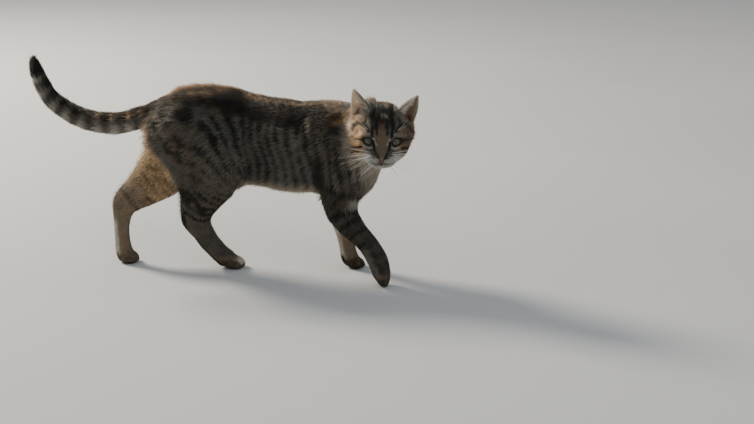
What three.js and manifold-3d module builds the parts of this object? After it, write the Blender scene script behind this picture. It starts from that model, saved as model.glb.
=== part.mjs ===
// A life-size walking cat, parted into its named regions.
// Millimetres. +X runs forward along the pelvis, +Y to the cat's left, +Z up from the floor.
//
// The whole cat is one implicit form: rounded lobes joined smoothly, negative inside the coat.
// Each region is polygonised with its own cell size and trimmed by plain cutting solids,
// which leave a thin gap between neighbours.

import * as THREE from 'three';
import { mergeVertices } from 'three/addons/utils/BufferGeometryUtils.js';
import Module from 'manifold-3d';

const wasm = await Module();
wasm.setup();

// ---------------------------------------------------------------- driving dimensions

const gap = 0.3; // clear space between neighbouring regions
const floorCut = 0; // level of the flats under the paws
const weld = 0.22; // an edge shorter than this closes up
const spineY = { pelvis: 14, loin: 11, chest: -2, shoulder: -10 };

// Head: origin at the middle of the skull, turned to the cat's right and tipped down.
const headPlace = { x: 245, y: -53, z: 226, turn: -81.9, tip: 28, lean: -2 };

// Cell size of each region's surface.
const cells = {
  face: 5.6,
  head: 11,
  neck: 21,
  trunk: 26.5,
  tail_base: 14,
  tail_middle: 12,
  tail_tip: 9,
  paw: 6.5,
  thigh: 18.5,
  shank: 12.5,
  shoulder: 18,
  forearm: 11,
};

// Skeleton: joint centres and the coat's radius round each.
const hindRight = {
  hip: [-52, -16, 212, 43],
  thigh: [-20, -27, 180, 38],
  knee: [14, -34, 147, 29],
  shank: [-13, -27, 112, 25],
  hock: [-30, -14, 78, 20],
  metatarsus: [-15, -3, 40, 15.5],
  ball: [7, 5, 14, 14.5],
};
const hamstringRight = {
  rump: [-72, -12, 200, 34],
  back: [-44, -22, 160, 27],
  calf: [-33, -24, 124, 21],
  heel: [-38, -14, 78, 15],
};
const hindLeft = {
  hip: [-54, 42, 208, 43],
  thigh: [-74, 46, 168, 38],
  knee: [-84, 48, 130, 31],
  shank: [-121, 37, 105, 25],
  hock: [-149, 24, 84, 17],
  metatarsus: [-155, 18, 48, 12.5],
  ball: [-150, 14, 12.5, 13],
};
const hamstringLeft = {
  rump: [-82, 40, 202, 30],
  back: [-94, 43, 166, 28],
  calf: [-122, 36, 124, 20],
  heel: [-153, 23, 92, 13.5],
};
const foreRight = {
  scapula: [160, -34, 222, 28],
  shoulder: [200, -40, 168, 32],
  elbow: [184, -46, 124, 28],
  forearm: [192, -50, 98, 22.5],
  middle: [207, -53, 79, 17.5],
  wrist: [226, -56, 60, 15.5],
  palm: [240, -58, 38, 15.5],
  fist: [246, -59, 20, 13.5],
};
const foreLeft = {
  scapula: [172, 24, 220, 26],
  shoulder: [204, 28, 164, 30],
  elbow: [170, 32, 110, 21],
  forearm: [172, 33, 80, 16],
  wrist: [180, 33, 42, 13],
  palm: [186, 33, 14, 13],
};
const tailBones = [
  [-84, 15, 224, 25],
  [-112, 15, 219, 20],
  [-150, 12, 211, 18.5],
  [-180, 10, 212, 18],
  [-206, 9, 218, 17],
  [-230, 8, 230, 16],
  [-250, 8, 246, 14.8],
  [-262, 8, 266, 13.5],
  [-270, 8, 286, 12],
  [-273, 8, 297, 9.5],
];

// Paws: where the toes spring from, the way they point and lie side by side,
// and their [reach, spacing, radius].
const paws = {
  hindRight: {
    root: [12, 6, 9.2],
    point: [1, 0.02, -0.16],
    across: [-0.02, 1, 0],
    toe: [15, 7.5, 7.9],
  },
  hindLeft: {
    root: [-147.5, 14, 8.6],
    point: [1, -0.04, -0.16],
    across: [0.04, 1, 0],
    toe: [12, 7.3, 7.5],
  },
  foreRight: {
    root: [247, -59, 22.6],
    point: [0.16, -0.04, -1],
    across: [0.05, 1, 0],
    toe: [17, 7.6, 7.2],
  },
  foreLeft: {
    root: [190, 33, 7.2],
    point: [1, -0.1, -0.16],
    across: [0.1, 1, 0],
    toe: [13, 7.2, 6.6],
  },
};

// Shares of a toe's reach and spacing: how far apart the roots start, how much the tips fan,
// how short the outer two are, and the width of the blend between neighbours.
const toeForm = { start: 0.8, fan: 0.2, outer: 0.7, blend: 2.5 };

// Widths of the smooth blends between the lobes of each part.
const blends = { trunk: 10, leg: 14, tail: 12 };

// Trunk stations along the spine: centre x, y, z, half width, half height.
const trunkStations = [
  [-78, spineY.pelvis, 219, 32, 27],
  [-48, spineY.pelvis, 219, 46, 47],
  [-18, spineY.pelvis, 209.5, 48, 62.5],
  [6, spineY.pelvis, 201.5, 50, 69],
  [50, spineY.loin, 192, 53, 66],
  [110, spineY.chest, 187, 55, 67],
  [156, spineY.chest - 4, 185, 50, 65],
  [190, spineY.shoulder - 4, 180, 42, 56],
];

// ---------------------------------------------------------------- implicit form

const degrees = Math.PI / 180;
const tiny = 1e-9;
const farOutside = 1e3;

function vector([x, y, z]) {
  return new THREE.Vector3(x, y, z);
}

function mix(a, b, t) {
  return a + (b - a) * t;
}

// Smooth union, k is the width of the blend.
function join(a, b, k) {
  const h = Math.max(k - Math.abs(a - b), 0) / k;
  return Math.min(a, b) - (h * h * k) / 4;
}

const worldAxes = [vector([1, 0, 0]), vector([0, 1, 0]), vector([0, 0, 1])];

// A rounded lobe swept from one centre to another. Radii are given along the three axes.
function lobe(start, startRadii, end, endRadii, blend, axes = worldAxes) {
  const a = vector(start);
  const run = vector(end).sub(a);
  const length2 = Math.max(run.lengthSq(), tiny);
  const q = new THREE.Vector3();
  const distance = (p) => {
    q.subVectors(p, a);
    const t = THREE.MathUtils.clamp(q.dot(run) / length2, 0, 1);
    q.addScaledVector(run, -t);
    let k0 = 0;
    let k1 = 0;
    for (let i = 0; i < 3; i += 1) {
      const r = mix(startRadii[i], endRadii[i], t);
      const s = q.dot(axes[i]) / r;
      k0 += s * s;
      k1 += (s * s) / (r * r);
    }
    k0 = Math.sqrt(k0);
    k1 = Math.sqrt(k1);
    return k1 < tiny ? -Math.min(...startRadii) : (k0 * (k0 - 1)) / k1;
  };
  return { distance, blend };
}

function ball(centre, radii, blend, axes) {
  return lobe(centre, radii, centre, radii, blend, axes);
}

const lobesPerStation = 3;

// One smooth tapering form through stations given as a centre and its radii.
function chain(stations, blend) {
  const spine = new THREE.CatmullRomCurve3(stations.map((station) => vector(station.centre)));
  const lobes = [];
  const stationAt = (index) => {
    const t = index / lobesPerStation;
    const i = Math.min(Math.floor(t), stations.length - 2);
    const radii = stations[i].radii.map((r, axis) => mix(r, stations[i + 1].radii[axis], t - i));
    return { centre: spine.getPoint(t / (stations.length - 1)).toArray(), radii };
  };
  for (let i = 1; i <= lobesPerStation * (stations.length - 1); i += 1) {
    const from = stationAt(i - 1);
    const to = stationAt(i);
    lobes.push(lobe(from.centre, from.radii, to.centre, to.radii, 0));
  }
  const distance = (p) => Math.min(...lobes.map((part) => part.distance(p)));
  return { distance, blend };
}

// A round limb through joints given as x, y, z, radius.
function limb(joints, blend) {
  return chain(joints.map(([x, y, z, r]) => ({ centre: [x, y, z], radii: [r, r, r] })), blend);
}

// The head's own axes: forward along the muzzle, to its left, and up through the crown.
function headFrame({ turn, tip, lean }) {
  const basis = new THREE.Matrix4().makeRotationZ(turn * degrees);
  basis.multiply(new THREE.Matrix4().makeRotationY(tip * degrees));
  basis.multiply(new THREE.Matrix4().makeRotationX(lean * degrees));
  const axes = [new THREE.Vector3(), new THREE.Vector3(), new THREE.Vector3()];
  basis.extractBasis(...axes);
  return axes;
}

const headAxes = headFrame(headPlace);

function headPoint(forward, left, up) {
  const p = vector([headPlace.x, headPlace.y, headPlace.z]);
  p.addScaledVector(headAxes[0], forward);
  p.addScaledVector(headAxes[1], left);
  p.addScaledVector(headAxes[2], up);
  return p;
}

function headLobe(start, startRadii, end, endRadii, blend) {
  const a = headPoint(...start).toArray();
  const b = headPoint(...end).toArray();
  return lobe(a, startRadii, b, endRadii, blend, headAxes);
}

function headBall(centre, radii, blend) {
  return headLobe(centre, radii, centre, radii, blend);
}

const eye = { forward: 32.5, side: 17.8, up: 3.5, radius: 10, lid: 11.4 };
const lidOpening = { reach: 11, radii: [9, 7.4, 5.9], lift: 34, splay: 12, slant: 8 };
const noseLeather = { forward: 63, up: -5.5, radii: [5, 6, 4.4] };

function headLobes() {
  const parts = [
    headBall([8, 0, 4], [36, 41, 37.5], 12),
    headBall([26, 0, 9], [20, 25, 18], 12),
    headLobe([36, 0, 9], [12, 11, 10], [58, 0, -2.5], [8, 7.5, 6.5], 8),
    headLobe([30, 0, -14], [20, 18, 15], [50, 0, -15], [13, 13, 10.5], 10),
    headLobe([10, 0, -20], [24, 26, 17], [45, 0, -23], [9.5, 10, 8], 10),
  ];
  for (const side of [-1, 1]) {
    parts.push(headLobe([22, side * 19, -10], [22, 20, 20], [-4, side * 29, -9], [26, 19, 26], 10));
    parts.push(headLobe([20, side * 22, -17], [15, 14, 13], [43, side * 13, -15], [12, 11, 10], 8));
    parts.push(headBall([53, side * 8.5, -13.5], [12, 11, 8.5], 5));
    parts.push(headBall([27, side * 20, 10], [14, 14, 9], 8));
    parts.push(headBall([eye.forward, side * eye.side, eye.up], [eye.lid, eye.lid, eye.lid], 5));
  }
  return parts;
}

function trunkForm() {
  const stations = trunkStations.map(([x, y, z, wide, high]) => ({
    centre: [x, y, z],
    radii: [(wide + high) / 2, wide, high],
  }));
  return chain(stations, blends.trunk);
}

function legForm(leg) {
  return limb(Object.values(leg), blends.leg);
}

// Four toes side by side, the middle two a little longer.
function toeLobes({ root, point, across, toe: [reach, spacing, radius] }) {
  const ahead = vector(point).normalize();
  const side = vector(across).normalize();
  return [-1.5, -0.5, 0.5, 1.5].map((place) => {
    const start = vector(root).addScaledVector(side, place * spacing * toeForm.start);
    const length = Math.abs(place) > 1 ? reach * toeForm.outer : reach;
    const end = start.clone().addScaledVector(ahead, length);
    end.addScaledVector(side, place * spacing * toeForm.fan);
    const radii = [radius, radius, radius];
    return lobe(start.toArray(), radii, end.toArray(), radii, toeForm.blend);
  });
}

const neckLobes = [
  lobe([172, -6, 204], [46, 44, 46], [232, -44, 222], [34, 36, 38], 24),
  lobe([197, -18, 147], [30, 32, 32], [234, -52, 206], [24, 26, 28], 22),
];

const legs = [foreRight, foreLeft, hindRight, hindLeft, hamstringRight, hamstringLeft];

const bodyLobes = [
  trunkForm(),
  ...neckLobes,
  ...headLobes(),
  ...legs.map(legForm),
  ...Object.values(paws).flatMap(toeLobes),
  limb(tailBones, blends.tail),
];

function coat(p) {
  let d = farOutside;
  for (const part of bodyLobes) {
    d = join(d, part.distance(p), part.blend);
  }
  return d;
}

// ---------------------------------------------------------------- polygonising

const slopeStep = 0.5;
const leastSlope2 = 0.2;
const settleSteps = 4;

function slope(field, p) {
  const g = new THREE.Vector3();
  const q = new THREE.Vector3();
  for (let i = 0; i < 3; i += 1) {
    q.copy(p).addScaledVector(worldAxes[i], slopeStep);
    const ahead = field(q);
    q.copy(p).addScaledVector(worldAxes[i], -slopeStep);
    g.setComponent(i, (ahead - field(q)) / (2 * slopeStep));
  }
  return g;
}

// Moves a point on to the zero level of the field.
function settle(field, p, reach) {
  const start = p.clone();
  for (let i = 0; i < settleSteps; i += 1) {
    const g = slope(field, p);
    p.addScaledVector(g, -field(p) / Math.max(g.lengthSq(), leastSlope2));
  }
  const moved = p.clone().sub(start);
  return moved.length() > reach ? start : p;
}

// Surface nets: one vertex in each cell that the surface crosses, one quad across each crossed edge.
function surfaceNet(field, box, cell) {
  const size = box.getSize(new THREE.Vector3());
  const n = size.toArray().map((s) => Math.ceil(s / cell) + 1);
  const at = (i, j, k) => (k * n[1] + j) * n[0] + i;
  const corner = (i, j, k) => vector([i, j, k]).multiplyScalar(cell).add(box.min);
  const values = new Float64Array(n[0] * n[1] * n[2]);
  for (let k = 0; k < n[2]; k += 1) {
    for (let j = 0; j < n[1]; j += 1) {
      for (let i = 0; i < n[0]; i += 1) {
        const p = corner(i, j, k);
        const rim = [i, j, k].some((c, axis) => c === 0 || c === n[axis] - 1);
        values[at(i, j, k)] = rim ? cell : field(p);
      }
    }
  }
  const positions = [];
  const vertexOf = new Map();
  const steps = [0, 1, 2, 3, 4, 5, 6, 7].map((c) => [c & 1, (c >> 1) & 1, (c >> 2) & 1]);
  const edges = [];
  for (let c = 0; c < 8; c += 1) {
    for (const bit of [1, 2, 4]) {
      if (!(c & bit)) {
        edges.push([c, c | bit]);
      }
    }
  }
  for (let k = 0; k < n[2] - 1; k += 1) {
    for (let j = 0; j < n[1] - 1; j += 1) {
      for (let i = 0; i < n[0] - 1; i += 1) {
        const v = steps.map(([a, b, c]) => values[at(i + a, j + b, k + c)]);
        const sum = new THREE.Vector3();
        let crossings = 0;
        for (const [a, b] of edges) {
          if (v[a] < 0 !== v[b] < 0) {
            const t = v[a] / (v[a] - v[b]);
            const pa = vector(steps[a]);
            sum.add(pa.lerp(vector(steps[b]), t));
            crossings += 1;
          }
        }
        if (crossings > 0) {
          sum.divideScalar(crossings).multiplyScalar(cell).add(corner(i, j, k));
          vertexOf.set(at(i, j, k), positions.length);
          positions.push(settle(field, sum, cell));
        }
      }
    }
  }
  const triangles = [];
  const quad = (a, b, c, d, flip) => {
    const ids = (flip ? [d, c, b, a] : [a, b, c, d]).map((cellId) => vertexOf.get(cellId));
    const [p, q, r, s] = ids.map((id) => positions[id]);
    if (p.distanceToSquared(r) < q.distanceToSquared(s)) {
      triangles.push(ids[0], ids[1], ids[2], ids[0], ids[2], ids[3]);
    } else {
      triangles.push(ids[1], ids[2], ids[3], ids[1], ids[3], ids[0]);
    }
  };
  for (let k = 0; k < n[2] - 1; k += 1) {
    for (let j = 0; j < n[1] - 1; j += 1) {
      for (let i = 0; i < n[0] - 1; i += 1) {
        const inside = values[at(i, j, k)] < 0;
        if (inside !== values[at(i + 1, j, k)] < 0) {
          quad(at(i, j - 1, k - 1), at(i, j, k - 1), at(i, j, k), at(i, j - 1, k), !inside);
        }
        if (inside !== values[at(i, j + 1, k)] < 0) {
          quad(at(i - 1, j, k - 1), at(i - 1, j, k), at(i, j, k), at(i, j, k - 1), !inside);
        }
        if (inside !== values[at(i, j, k + 1)] < 0) {
          quad(at(i - 1, j - 1, k), at(i, j - 1, k), at(i, j, k), at(i - 1, j, k), !inside);
        }
      }
    }
  }
  return { positions: positions.flatMap((p) => p.toArray()), triangles };
}

// ---------------------------------------------------------------- solids

function solidFrom({ positions, triangles }) {
  const mesh = new wasm.Mesh({
    numProp: 3,
    vertProperties: new Float32Array(positions),
    triVerts: new Uint32Array(triangles),
  });
  return new wasm.Manifold(mesh);
}

function solidFromGeometry(geometry) {
  const bare = geometry.clone();
  bare.deleteAttribute('normal');
  bare.deleteAttribute('uv');
  const merged = mergeVertices(bare, 1e-4);
  return solidFrom({ positions: merged.attributes.position.array, triangles: merged.index.array });
}

const keyOf = (ids) => ids.toSorted((a, b) => a - b).join();
const sidesOf = (face) => face.map((from, corner) => [from, face[(corner + 1) % 3]]);

// The faces that neither close up nor fold back on to another.
function openFaces(faces) {
  const open = new Map();
  for (const face of faces) {
    const key = keyOf(face);
    if (open.has(key)) {
      open.delete(key);
    } else if (new Set(face).size === 3) {
      open.set(key, face);
    }
  }
  return [...open.values()];
}

// The solid's surface without slivers: the ends of a very short edge become one vertex,
// and so do those of an edge where more than two faces meet.
function geometryOf(solid) {
  const { vertProperties, triVerts, numVert } = solid.getMesh();
  const point = (id) => new THREE.Vector3().fromArray(vertProperties, 3 * id);
  const placed = new Map();
  const owners = Array.from({ length: numVert }, (_, id) => {
    const place = point(id).toArray().map((c) => c.toFixed(4)).join();
    placed.set(place, placed.get(place) ?? id);
    return placed.get(place);
  });
  const ownerOf = (id) => (owners[id] === id ? id : ownerOf(owners[id]));
  let faces = [];
  for (let i = 0; i < triVerts.length; i += 3) {
    faces.push(Array.from(triVerts.slice(i, i + 3), ownerOf));
  }
  const closeUp = (wanted) => {
    for (const [from, to] of faces.flatMap(sidesOf).filter(wanted)) {
      owners[ownerOf(from)] = ownerOf(to);
    }
    faces = openFaces(faces.map((face) => face.map(ownerOf)));
  };
  closeUp(([from, to]) => point(from).distanceTo(point(to)) < weld);
  const meeting = new Map();
  for (const key of faces.flatMap(sidesOf).map(keyOf)) {
    meeting.set(key, (meeting.get(key) ?? 0) + 1);
  }
  closeUp((side) => meeting.get(keyOf(side)) > 2);
  const positions = faces.flat().flatMap((id) => point(id).toArray());
  const loose = new THREE.BufferGeometry();
  loose.setAttribute('position', new THREE.Float32BufferAttribute(positions, 3));
  const geometry = mergeVertices(loose);
  geometry.computeVertexNormals();
  return geometry;
}

// The net of a field, on the first of a few lattice offsets that gives a closed two-sided surface.
function fieldSolid(field, box, cell) {
  for (const shift of [0, 0.2, 0.4, 0.6, 0.8]) {
    const moved = box.clone().translate(vector([shift, shift, shift]).multiplyScalar(cell));
    try {
      return solidFrom(surfaceNet(field, moved, cell));
    } catch (error) {
      if (error.code !== 'NotManifold') {
        throw error;
      }
    }
  }
  throw new Error('no closed surface');
}

// ---------------------------------------------------------------- cutting regions

// A block between two corners, grown on every side.
function block(low, high, grow = 0) {
  const box = new THREE.Box3(vector(low), vector(high)).expandByScalar(grow);
  const geometry = new THREE.BoxGeometry(...box.getSize(new THREE.Vector3()));
  geometry.translate(...box.getCenter(new THREE.Vector3()));
  return solidFromGeometry(geometry);
}

// A block standing on a point, its length along a direction.
function beam(origin, along, size, grow) {
  const geometry = new THREE.BoxGeometry(...size.map((side) => side + 2 * grow));
  geometry.translate(size[0] / 2, 0, 0);
  const x = vector(along).normalize();
  const y = new THREE.Vector3().crossVectors(worldAxes[2], x).normalize();
  const z = new THREE.Vector3().crossVectors(x, y);
  geometry.applyMatrix4(new THREE.Matrix4().makeBasis(x, y, z).setPosition(...origin));
  return solidFromGeometry(geometry);
}

// An egg-shaped region in the head's own axes.
function egg(centre, radii, segments, grow) {
  const geometry = new THREE.SphereGeometry(1, ...segments);
  geometry.scale(...radii.map((r) => r + grow));
  geometry.applyMatrix4(new THREE.Matrix4().makeBasis(...headAxes).setPosition(headPoint(...centre)));
  return solidFromGeometry(geometry);
}

// An arched outline: two feet below the floor, straight sides and a round top.
const archFoot = -20;

function arch({ back, front, crown, centre, radius }, grow) {
  const shape = new THREE.Shape();
  const reach = radius + grow;
  shape.moveTo(back - grow, archFoot - grow);
  shape.lineTo(front + grow, archFoot - grow);
  shape.lineTo(front + grow, crown);
  shape.lineTo(centre[0] + reach, centre[1]);
  shape.absarc(centre[0], centre[1], reach, 0, Math.PI, false);
  shape.lineTo(back - grow, crown);
  shape.closePath();
  return shape;
}

// An upright slab with an arched side, from an inner face to an outer one,
// leaned about its lower edge.
function wholeLimb(limbSlab, grow) {
  const [inner, outer] = limbSlab.faces;
  const shape = arch(limbSlab, grow);
  const near = Math.min(inner, outer) - grow;
  const depth = Math.abs(outer - inner) + 2 * grow;
  const geometry = new THREE.ExtrudeGeometry(shape, { depth, bevelEnabled: false, curveSegments: 12 });
  geometry.rotateX(90 * degrees);
  geometry.translate(0, near + depth, 0);
  geometry.translate(0, -inner, 0);
  geometry.rotateX(limbSlab.lean * degrees);
  geometry.translate(0, inner, 0);
  return solidFromGeometry(geometry);
}

// Each limb's slab: its side outline, inner and outer face and lean.
const limbSlabs = {
  hindRight: {
    back: -90,
    front: 52,
    crown: 150,
    centre: [-26, 172],
    radius: 58,
    faces: [41, -150],
    lean: 14,
  },
  hindLeft: {
    back: -220,
    front: -91,
    crown: 90,
    centre: [-60, 170],
    radius: 56,
    faces: [-17, 180],
    lean: -14,
  },
  foreRight: {
    back: 140,
    front: 300,
    crown: 118,
    centre: [188, 176],
    radius: 42,
    faces: [-22, -120],
    lean: 0,
  },
  foreLeft: {
    back: 130,
    front: 260,
    crown: 118,
    centre: [192, 172],
    radius: 42,
    faces: [8, 110],
    lean: 0,
  },
};

const limbReach = [200, 300, 300]; // more than any limb below its cut

// The part of a limb beyond a cut square to one of its bones.
function lowerLimb(limbSlab, cut, along, grow) {
  return wholeLimb(limbSlab, grow).intersect(beam(cut, along, limbReach, grow));
}

const neckSize = [110, 170, 128];
const tailBaseSize = [66, 60, 66];

// Regions in the order they are taken: each keeps what the ones before it have left.
const regions = {
  face: (grow) => egg([50, 0, -4], [36, 46, 42], [12, 8], grow),
  head: (grow) => egg([13, 3, 2], [62, 61, 62], [14, 9], grow),
  neck: (grow) => beam([186, -12, 222], [0.8, -0.6, 0.05], neckSize, grow),
  tail_base: (grow) => beam([-104, 15, 224], [-1, 0, -0.18], tailBaseSize, grow),
  tail_middle: (grow) => block([-244, -30, 150], [-169, 50, 262], grow),
  tail_tip: (grow) => block([-300, -30, 150], [-200, 50, 330], grow),
  hind_paw_right: (grow) => block([-14, -40, -20], [60, 45, 30], grow),
  hind_paw_left: (grow) => block([-190, -20, -20], [-110, 50, 30], grow),
  fore_paw_right: (grow) => block([215, -100, -20], [290, -20, 42], grow),
  fore_paw_left: (grow) => block([150, 0, -20], [240, 70, 28], grow),
  shank_right: (grow) => lowerLimb(limbSlabs.hindRight, [-6, -30, 122], [-0.35, 0, -0.94], grow),
  shank_left: (grow) => lowerLimb(limbSlabs.hindLeft, [-110, 40, 112], [-0.7, 0, -0.7], grow),
  forearm_right: (grow) => lowerLimb(limbSlabs.foreRight, [190, -48, 106], [0.2, 0, -1], grow),
  forearm_left: (grow) => lowerLimb(limbSlabs.foreLeft, [171, 32, 98], [0.05, 0, -1], grow),
  thigh_right: (grow) => wholeLimb(limbSlabs.hindRight, grow),
  thigh_left: (grow) => wholeLimb(limbSlabs.hindLeft, grow),
  shoulder_right: (grow) => wholeLimb(limbSlabs.foreRight, grow),
  shoulder_left: (grow) => wholeLimb(limbSlabs.foreLeft, grow),
  trunk: (grow) => block([-150, -110, 60], [260, 110, 300], grow),
};

// ---------------------------------------------------------------- small separate pieces

const eyeFacets = [12, 8];
const lidFacets = [12, 6];
const noseFacets = [9, 6];

function eyeball(side, grow = 0) {
  const geometry = new THREE.SphereGeometry(eye.radius + grow, ...eyeFacets);
  const centre = headPoint(eye.forward, side * eye.side, eye.up);
  geometry.applyMatrix4(new THREE.Matrix4().makeBasis(...headAxes).setPosition(centre));
  return solidFromGeometry(geometry);
}

// The almond opening between the lids, its outer corner the higher one, turned up and outward.
function almond(side) {
  const geometry = new THREE.SphereGeometry(1, ...lidFacets);
  geometry.scale(...lidOpening.radii);
  geometry.translate(lidOpening.reach, 0, 0);
  geometry.rotateX(side * lidOpening.slant * degrees);
  geometry.rotateY(-lidOpening.lift * degrees);
  geometry.rotateZ(side * lidOpening.splay * degrees);
  const centre = headPoint(eye.forward, side * eye.side, eye.up);
  geometry.applyMatrix4(new THREE.Matrix4().makeBasis(...headAxes).setPosition(centre));
  return solidFromGeometry(geometry);
}

function nosePad(grow = 0) {
  return egg([noseLeather.forward, 0, noseLeather.up], noseLeather.radii, noseFacets, grow);
}

// A cupped ear: margins from the inner and outer base to the tip, in the head's own axes.
const earShape = {
  rows: 6,
  columns: 5,
  cup: 9,
  root: 0.2,
  bulge: 0.16,
  thick: 2.4,
  thin: 1.2,
  tipWidth: 0.05,
};
const ears = {
  right: { inner: [6, -15, 29], outer: [-6, -39, 12], tip: [-2, -40, 62] },
  left: { inner: [4, 17, 27], outer: [-6, 43, 6], tip: [-2, 47, 54] },
};

function earSolid({ inner, outer, tip }) {
  const from = vector(inner);
  const to = vector(outer);
  const top = vector(tip);
  const across = to.clone().sub(from);
  const facing = across.clone().cross(top.clone().sub(from)).normalize();
  facing.multiplyScalar(Math.sign(facing.x));
  const middle = from.clone().lerp(to, 0.5);
  const sheet = (row, column, front) => {
    const v = row / earShape.rows;
    const u = column / earShape.columns;
    const rise = mix(-earShape.root, 1, v);
    const taper = Math.max(1 - Math.max(rise, 0), 0);
    const swell = earShape.bulge * Math.sin(Math.PI * Math.max(rise, 0));
    const width = taper + swell + earShape.tipWidth * v;
    const p = middle.clone().lerp(top, rise).addScaledVector(across, (u - 0.5) * width);
    const depth = earShape.cup * Math.sin(Math.PI * u) * width;
    const half = mix(earShape.thick, earShape.thin, v) / 2;
    return p.addScaledVector(facing, (front ? half : -half) - depth);
  };
  const positions = [];
  const triangles = [];
  const count = (earShape.rows + 1) * (earShape.columns + 1);
  for (const front of [true, false]) {
    for (let row = 0; row <= earShape.rows; row += 1) {
      for (let column = 0; column <= earShape.columns; column += 1) {
        const p = sheet(row, column, front);
        positions.push(...headPoint(p.x, p.y, p.z).toArray());
      }
    }
  }
  const id = (row, column, back = 0) => back * count + row * (earShape.columns + 1) + column;
  const quad = (a, b, c, d) => triangles.push(a, b, c, a, c, d);
  for (let row = 0; row < earShape.rows; row += 1) {
    for (let column = 0; column < earShape.columns; column += 1) {
      quad(id(row, column), id(row, column + 1), id(row + 1, column + 1), id(row + 1, column));
      const [low, high] = [id(row, column, 1), id(row + 1, column, 1)];
      quad(high, high + 1, low + 1, low);
    }
    quad(id(row, 0, 1), id(row, 0), id(row + 1, 0), id(row + 1, 0, 1));
    const last = earShape.columns;
    quad(id(row, last), id(row, last, 1), id(row + 1, last, 1), id(row + 1, last));
  }
  for (let column = 0; column < earShape.columns; column += 1) {
    quad(id(0, column, 1), id(0, column + 1, 1), id(0, column + 1), id(0, column));
    const end = earShape.rows;
    quad(id(end, column), id(end, column + 1), id(end, column + 1, 1), id(end, column, 1));
  }
  const solid = solidFrom({ positions, triangles });
  return solid.volume() > 0 ? solid : solidFrom({ positions, triangles: triangles.reverse() });
}

// ---------------------------------------------------------------- parting the body

const group = new THREE.Group();

function addNode(name, solid, finish) {
  const material = new THREE.MeshStandardMaterial({
    color: colours[finish],
    roughness: roughness[finish],
    metalness: 0,
  });
  const mesh = new THREE.Mesh(geometryOf(solid), material);
  mesh.name = name;
  group.add(mesh);
}

function cellOf(name) {
  const kind = Object.keys(cells).find((key) => name.includes(key));
  return cells[kind];
}

// Bounds that hold a region's solid, with room for the net to close outside it.
function roomFor(solid, cell) {
  const { min, max } = solid.boundingBox();
  const box = new THREE.Box3(vector(min), vector(max)).intersect(everything);
  return box.expandByScalar(2 * cell);
}

const everything = new THREE.Box3(vector([-300, -110, -4]), vector([310, 100, 320]));
const colours = { coat: 0x6f5f4b, eye: 0xa8a95c, nose: 0x7a4436, ear: 0x8a7158 };
const roughness = { coat: 0.9, eye: 0.1, nose: 0.6, ear: 0.9 };
const floorBlock = block([-400, -300, -100], [400, 300, floorCut]);
const sockets = [-1, 1].map((side) => eyeball(side, gap).add(almond(side)));
const taken = [];

function partRegion(name) {
  const cell = cellOf(name);
  const region = regions[name](0);
  let solid = fieldSolid(coat, roomFor(region, cell), cell).intersect(region).subtract(floorBlock);
  for (const other of taken) {
    solid = solid.subtract(other);
  }
  if (name === 'face') {
    solid = sockets.reduce((whole, socket) => whole.subtract(socket), solid).subtract(nosePad(gap));
  }
  taken.push(regions[name](gap));
  addNode(name, solid, 'coat');
}

Object.keys(regions).forEach((name) => partRegion(name));

for (const [name, side] of [['right', -1], ['left', 1]]) {
  addNode(`eye_${name}`, eyeball(side), 'eye');
}
addNode('nose', nosePad(), 'nose');

const headSkin = fieldSolid((p) => coat(p) - gap, roomFor(regions.head(0), cells.head), cells.head);
for (const [name, ear] of Object.entries(ears)) {
  addNode(`ear_${name}`, earSolid(ear).subtract(headSkin), 'ear');
}

// The origin is the middle of the footprint at floor level.
const middle = new THREE.Box3().setFromObject(group).getCenter(new THREE.Vector3());
group.position.set(-middle.x, -middle.y, 0);

export default group;
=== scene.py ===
import math

import bmesh
import bpy
import numpy as np
from mathutils import Matrix, Vector


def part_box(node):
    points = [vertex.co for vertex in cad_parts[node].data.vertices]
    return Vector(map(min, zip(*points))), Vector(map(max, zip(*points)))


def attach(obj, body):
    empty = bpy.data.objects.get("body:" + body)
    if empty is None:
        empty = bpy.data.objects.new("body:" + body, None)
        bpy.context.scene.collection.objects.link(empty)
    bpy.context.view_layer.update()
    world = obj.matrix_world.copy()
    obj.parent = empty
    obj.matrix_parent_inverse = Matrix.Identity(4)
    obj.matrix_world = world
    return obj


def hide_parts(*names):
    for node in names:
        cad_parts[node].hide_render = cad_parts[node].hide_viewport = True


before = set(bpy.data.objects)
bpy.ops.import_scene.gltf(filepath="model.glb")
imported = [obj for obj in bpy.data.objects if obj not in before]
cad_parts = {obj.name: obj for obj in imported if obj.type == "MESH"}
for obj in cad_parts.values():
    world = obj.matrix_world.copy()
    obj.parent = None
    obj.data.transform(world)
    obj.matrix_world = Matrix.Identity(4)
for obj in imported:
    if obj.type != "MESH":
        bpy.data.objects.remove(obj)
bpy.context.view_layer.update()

mm = 0.001

# ---- head's own axes: forward along the muzzle, to its left, up through the crown
head = {"centre": (245, -53, 226), "turn": -81.9, "tip": 28, "lean": -2}
eyeSeat = {"forward": 32.5, "side": 17.8, "up": 3.5, "radius": 9.8}

headTurn = (
    Matrix.Rotation(math.radians(head["turn"]), 3, "Z")
    @ Matrix.Rotation(math.radians(head["tip"]), 3, "Y")
    @ Matrix.Rotation(math.radians(head["lean"]), 3, "X")
)
headAxes = np.array(headTurn.transposed())


def middleOf(node):
    low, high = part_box(node)
    return np.array((low + high) / 2)


# the drawing's own millimetres against the frame's metres, from where the eyes are
eyesDrawn = np.array(head["centre"]) + np.array([eyeSeat["forward"], 0, eyeSeat["up"]]) @ headAxes
eyesPlaced = (middleOf("eye_right") + middleOf("eye_left")) / 2 / mm
drawingShift = eyesPlaced - eyesDrawn
drawingShift[2] = 0


def toFrame(points):
    return (np.asarray(points, float) + drawingShift) * mm


def toDrawing(points):
    return np.asarray(points, float) / mm - drawingShift


def toHead(points):
    return (toDrawing(points) - head["centre"]) @ headAxes.T


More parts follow.
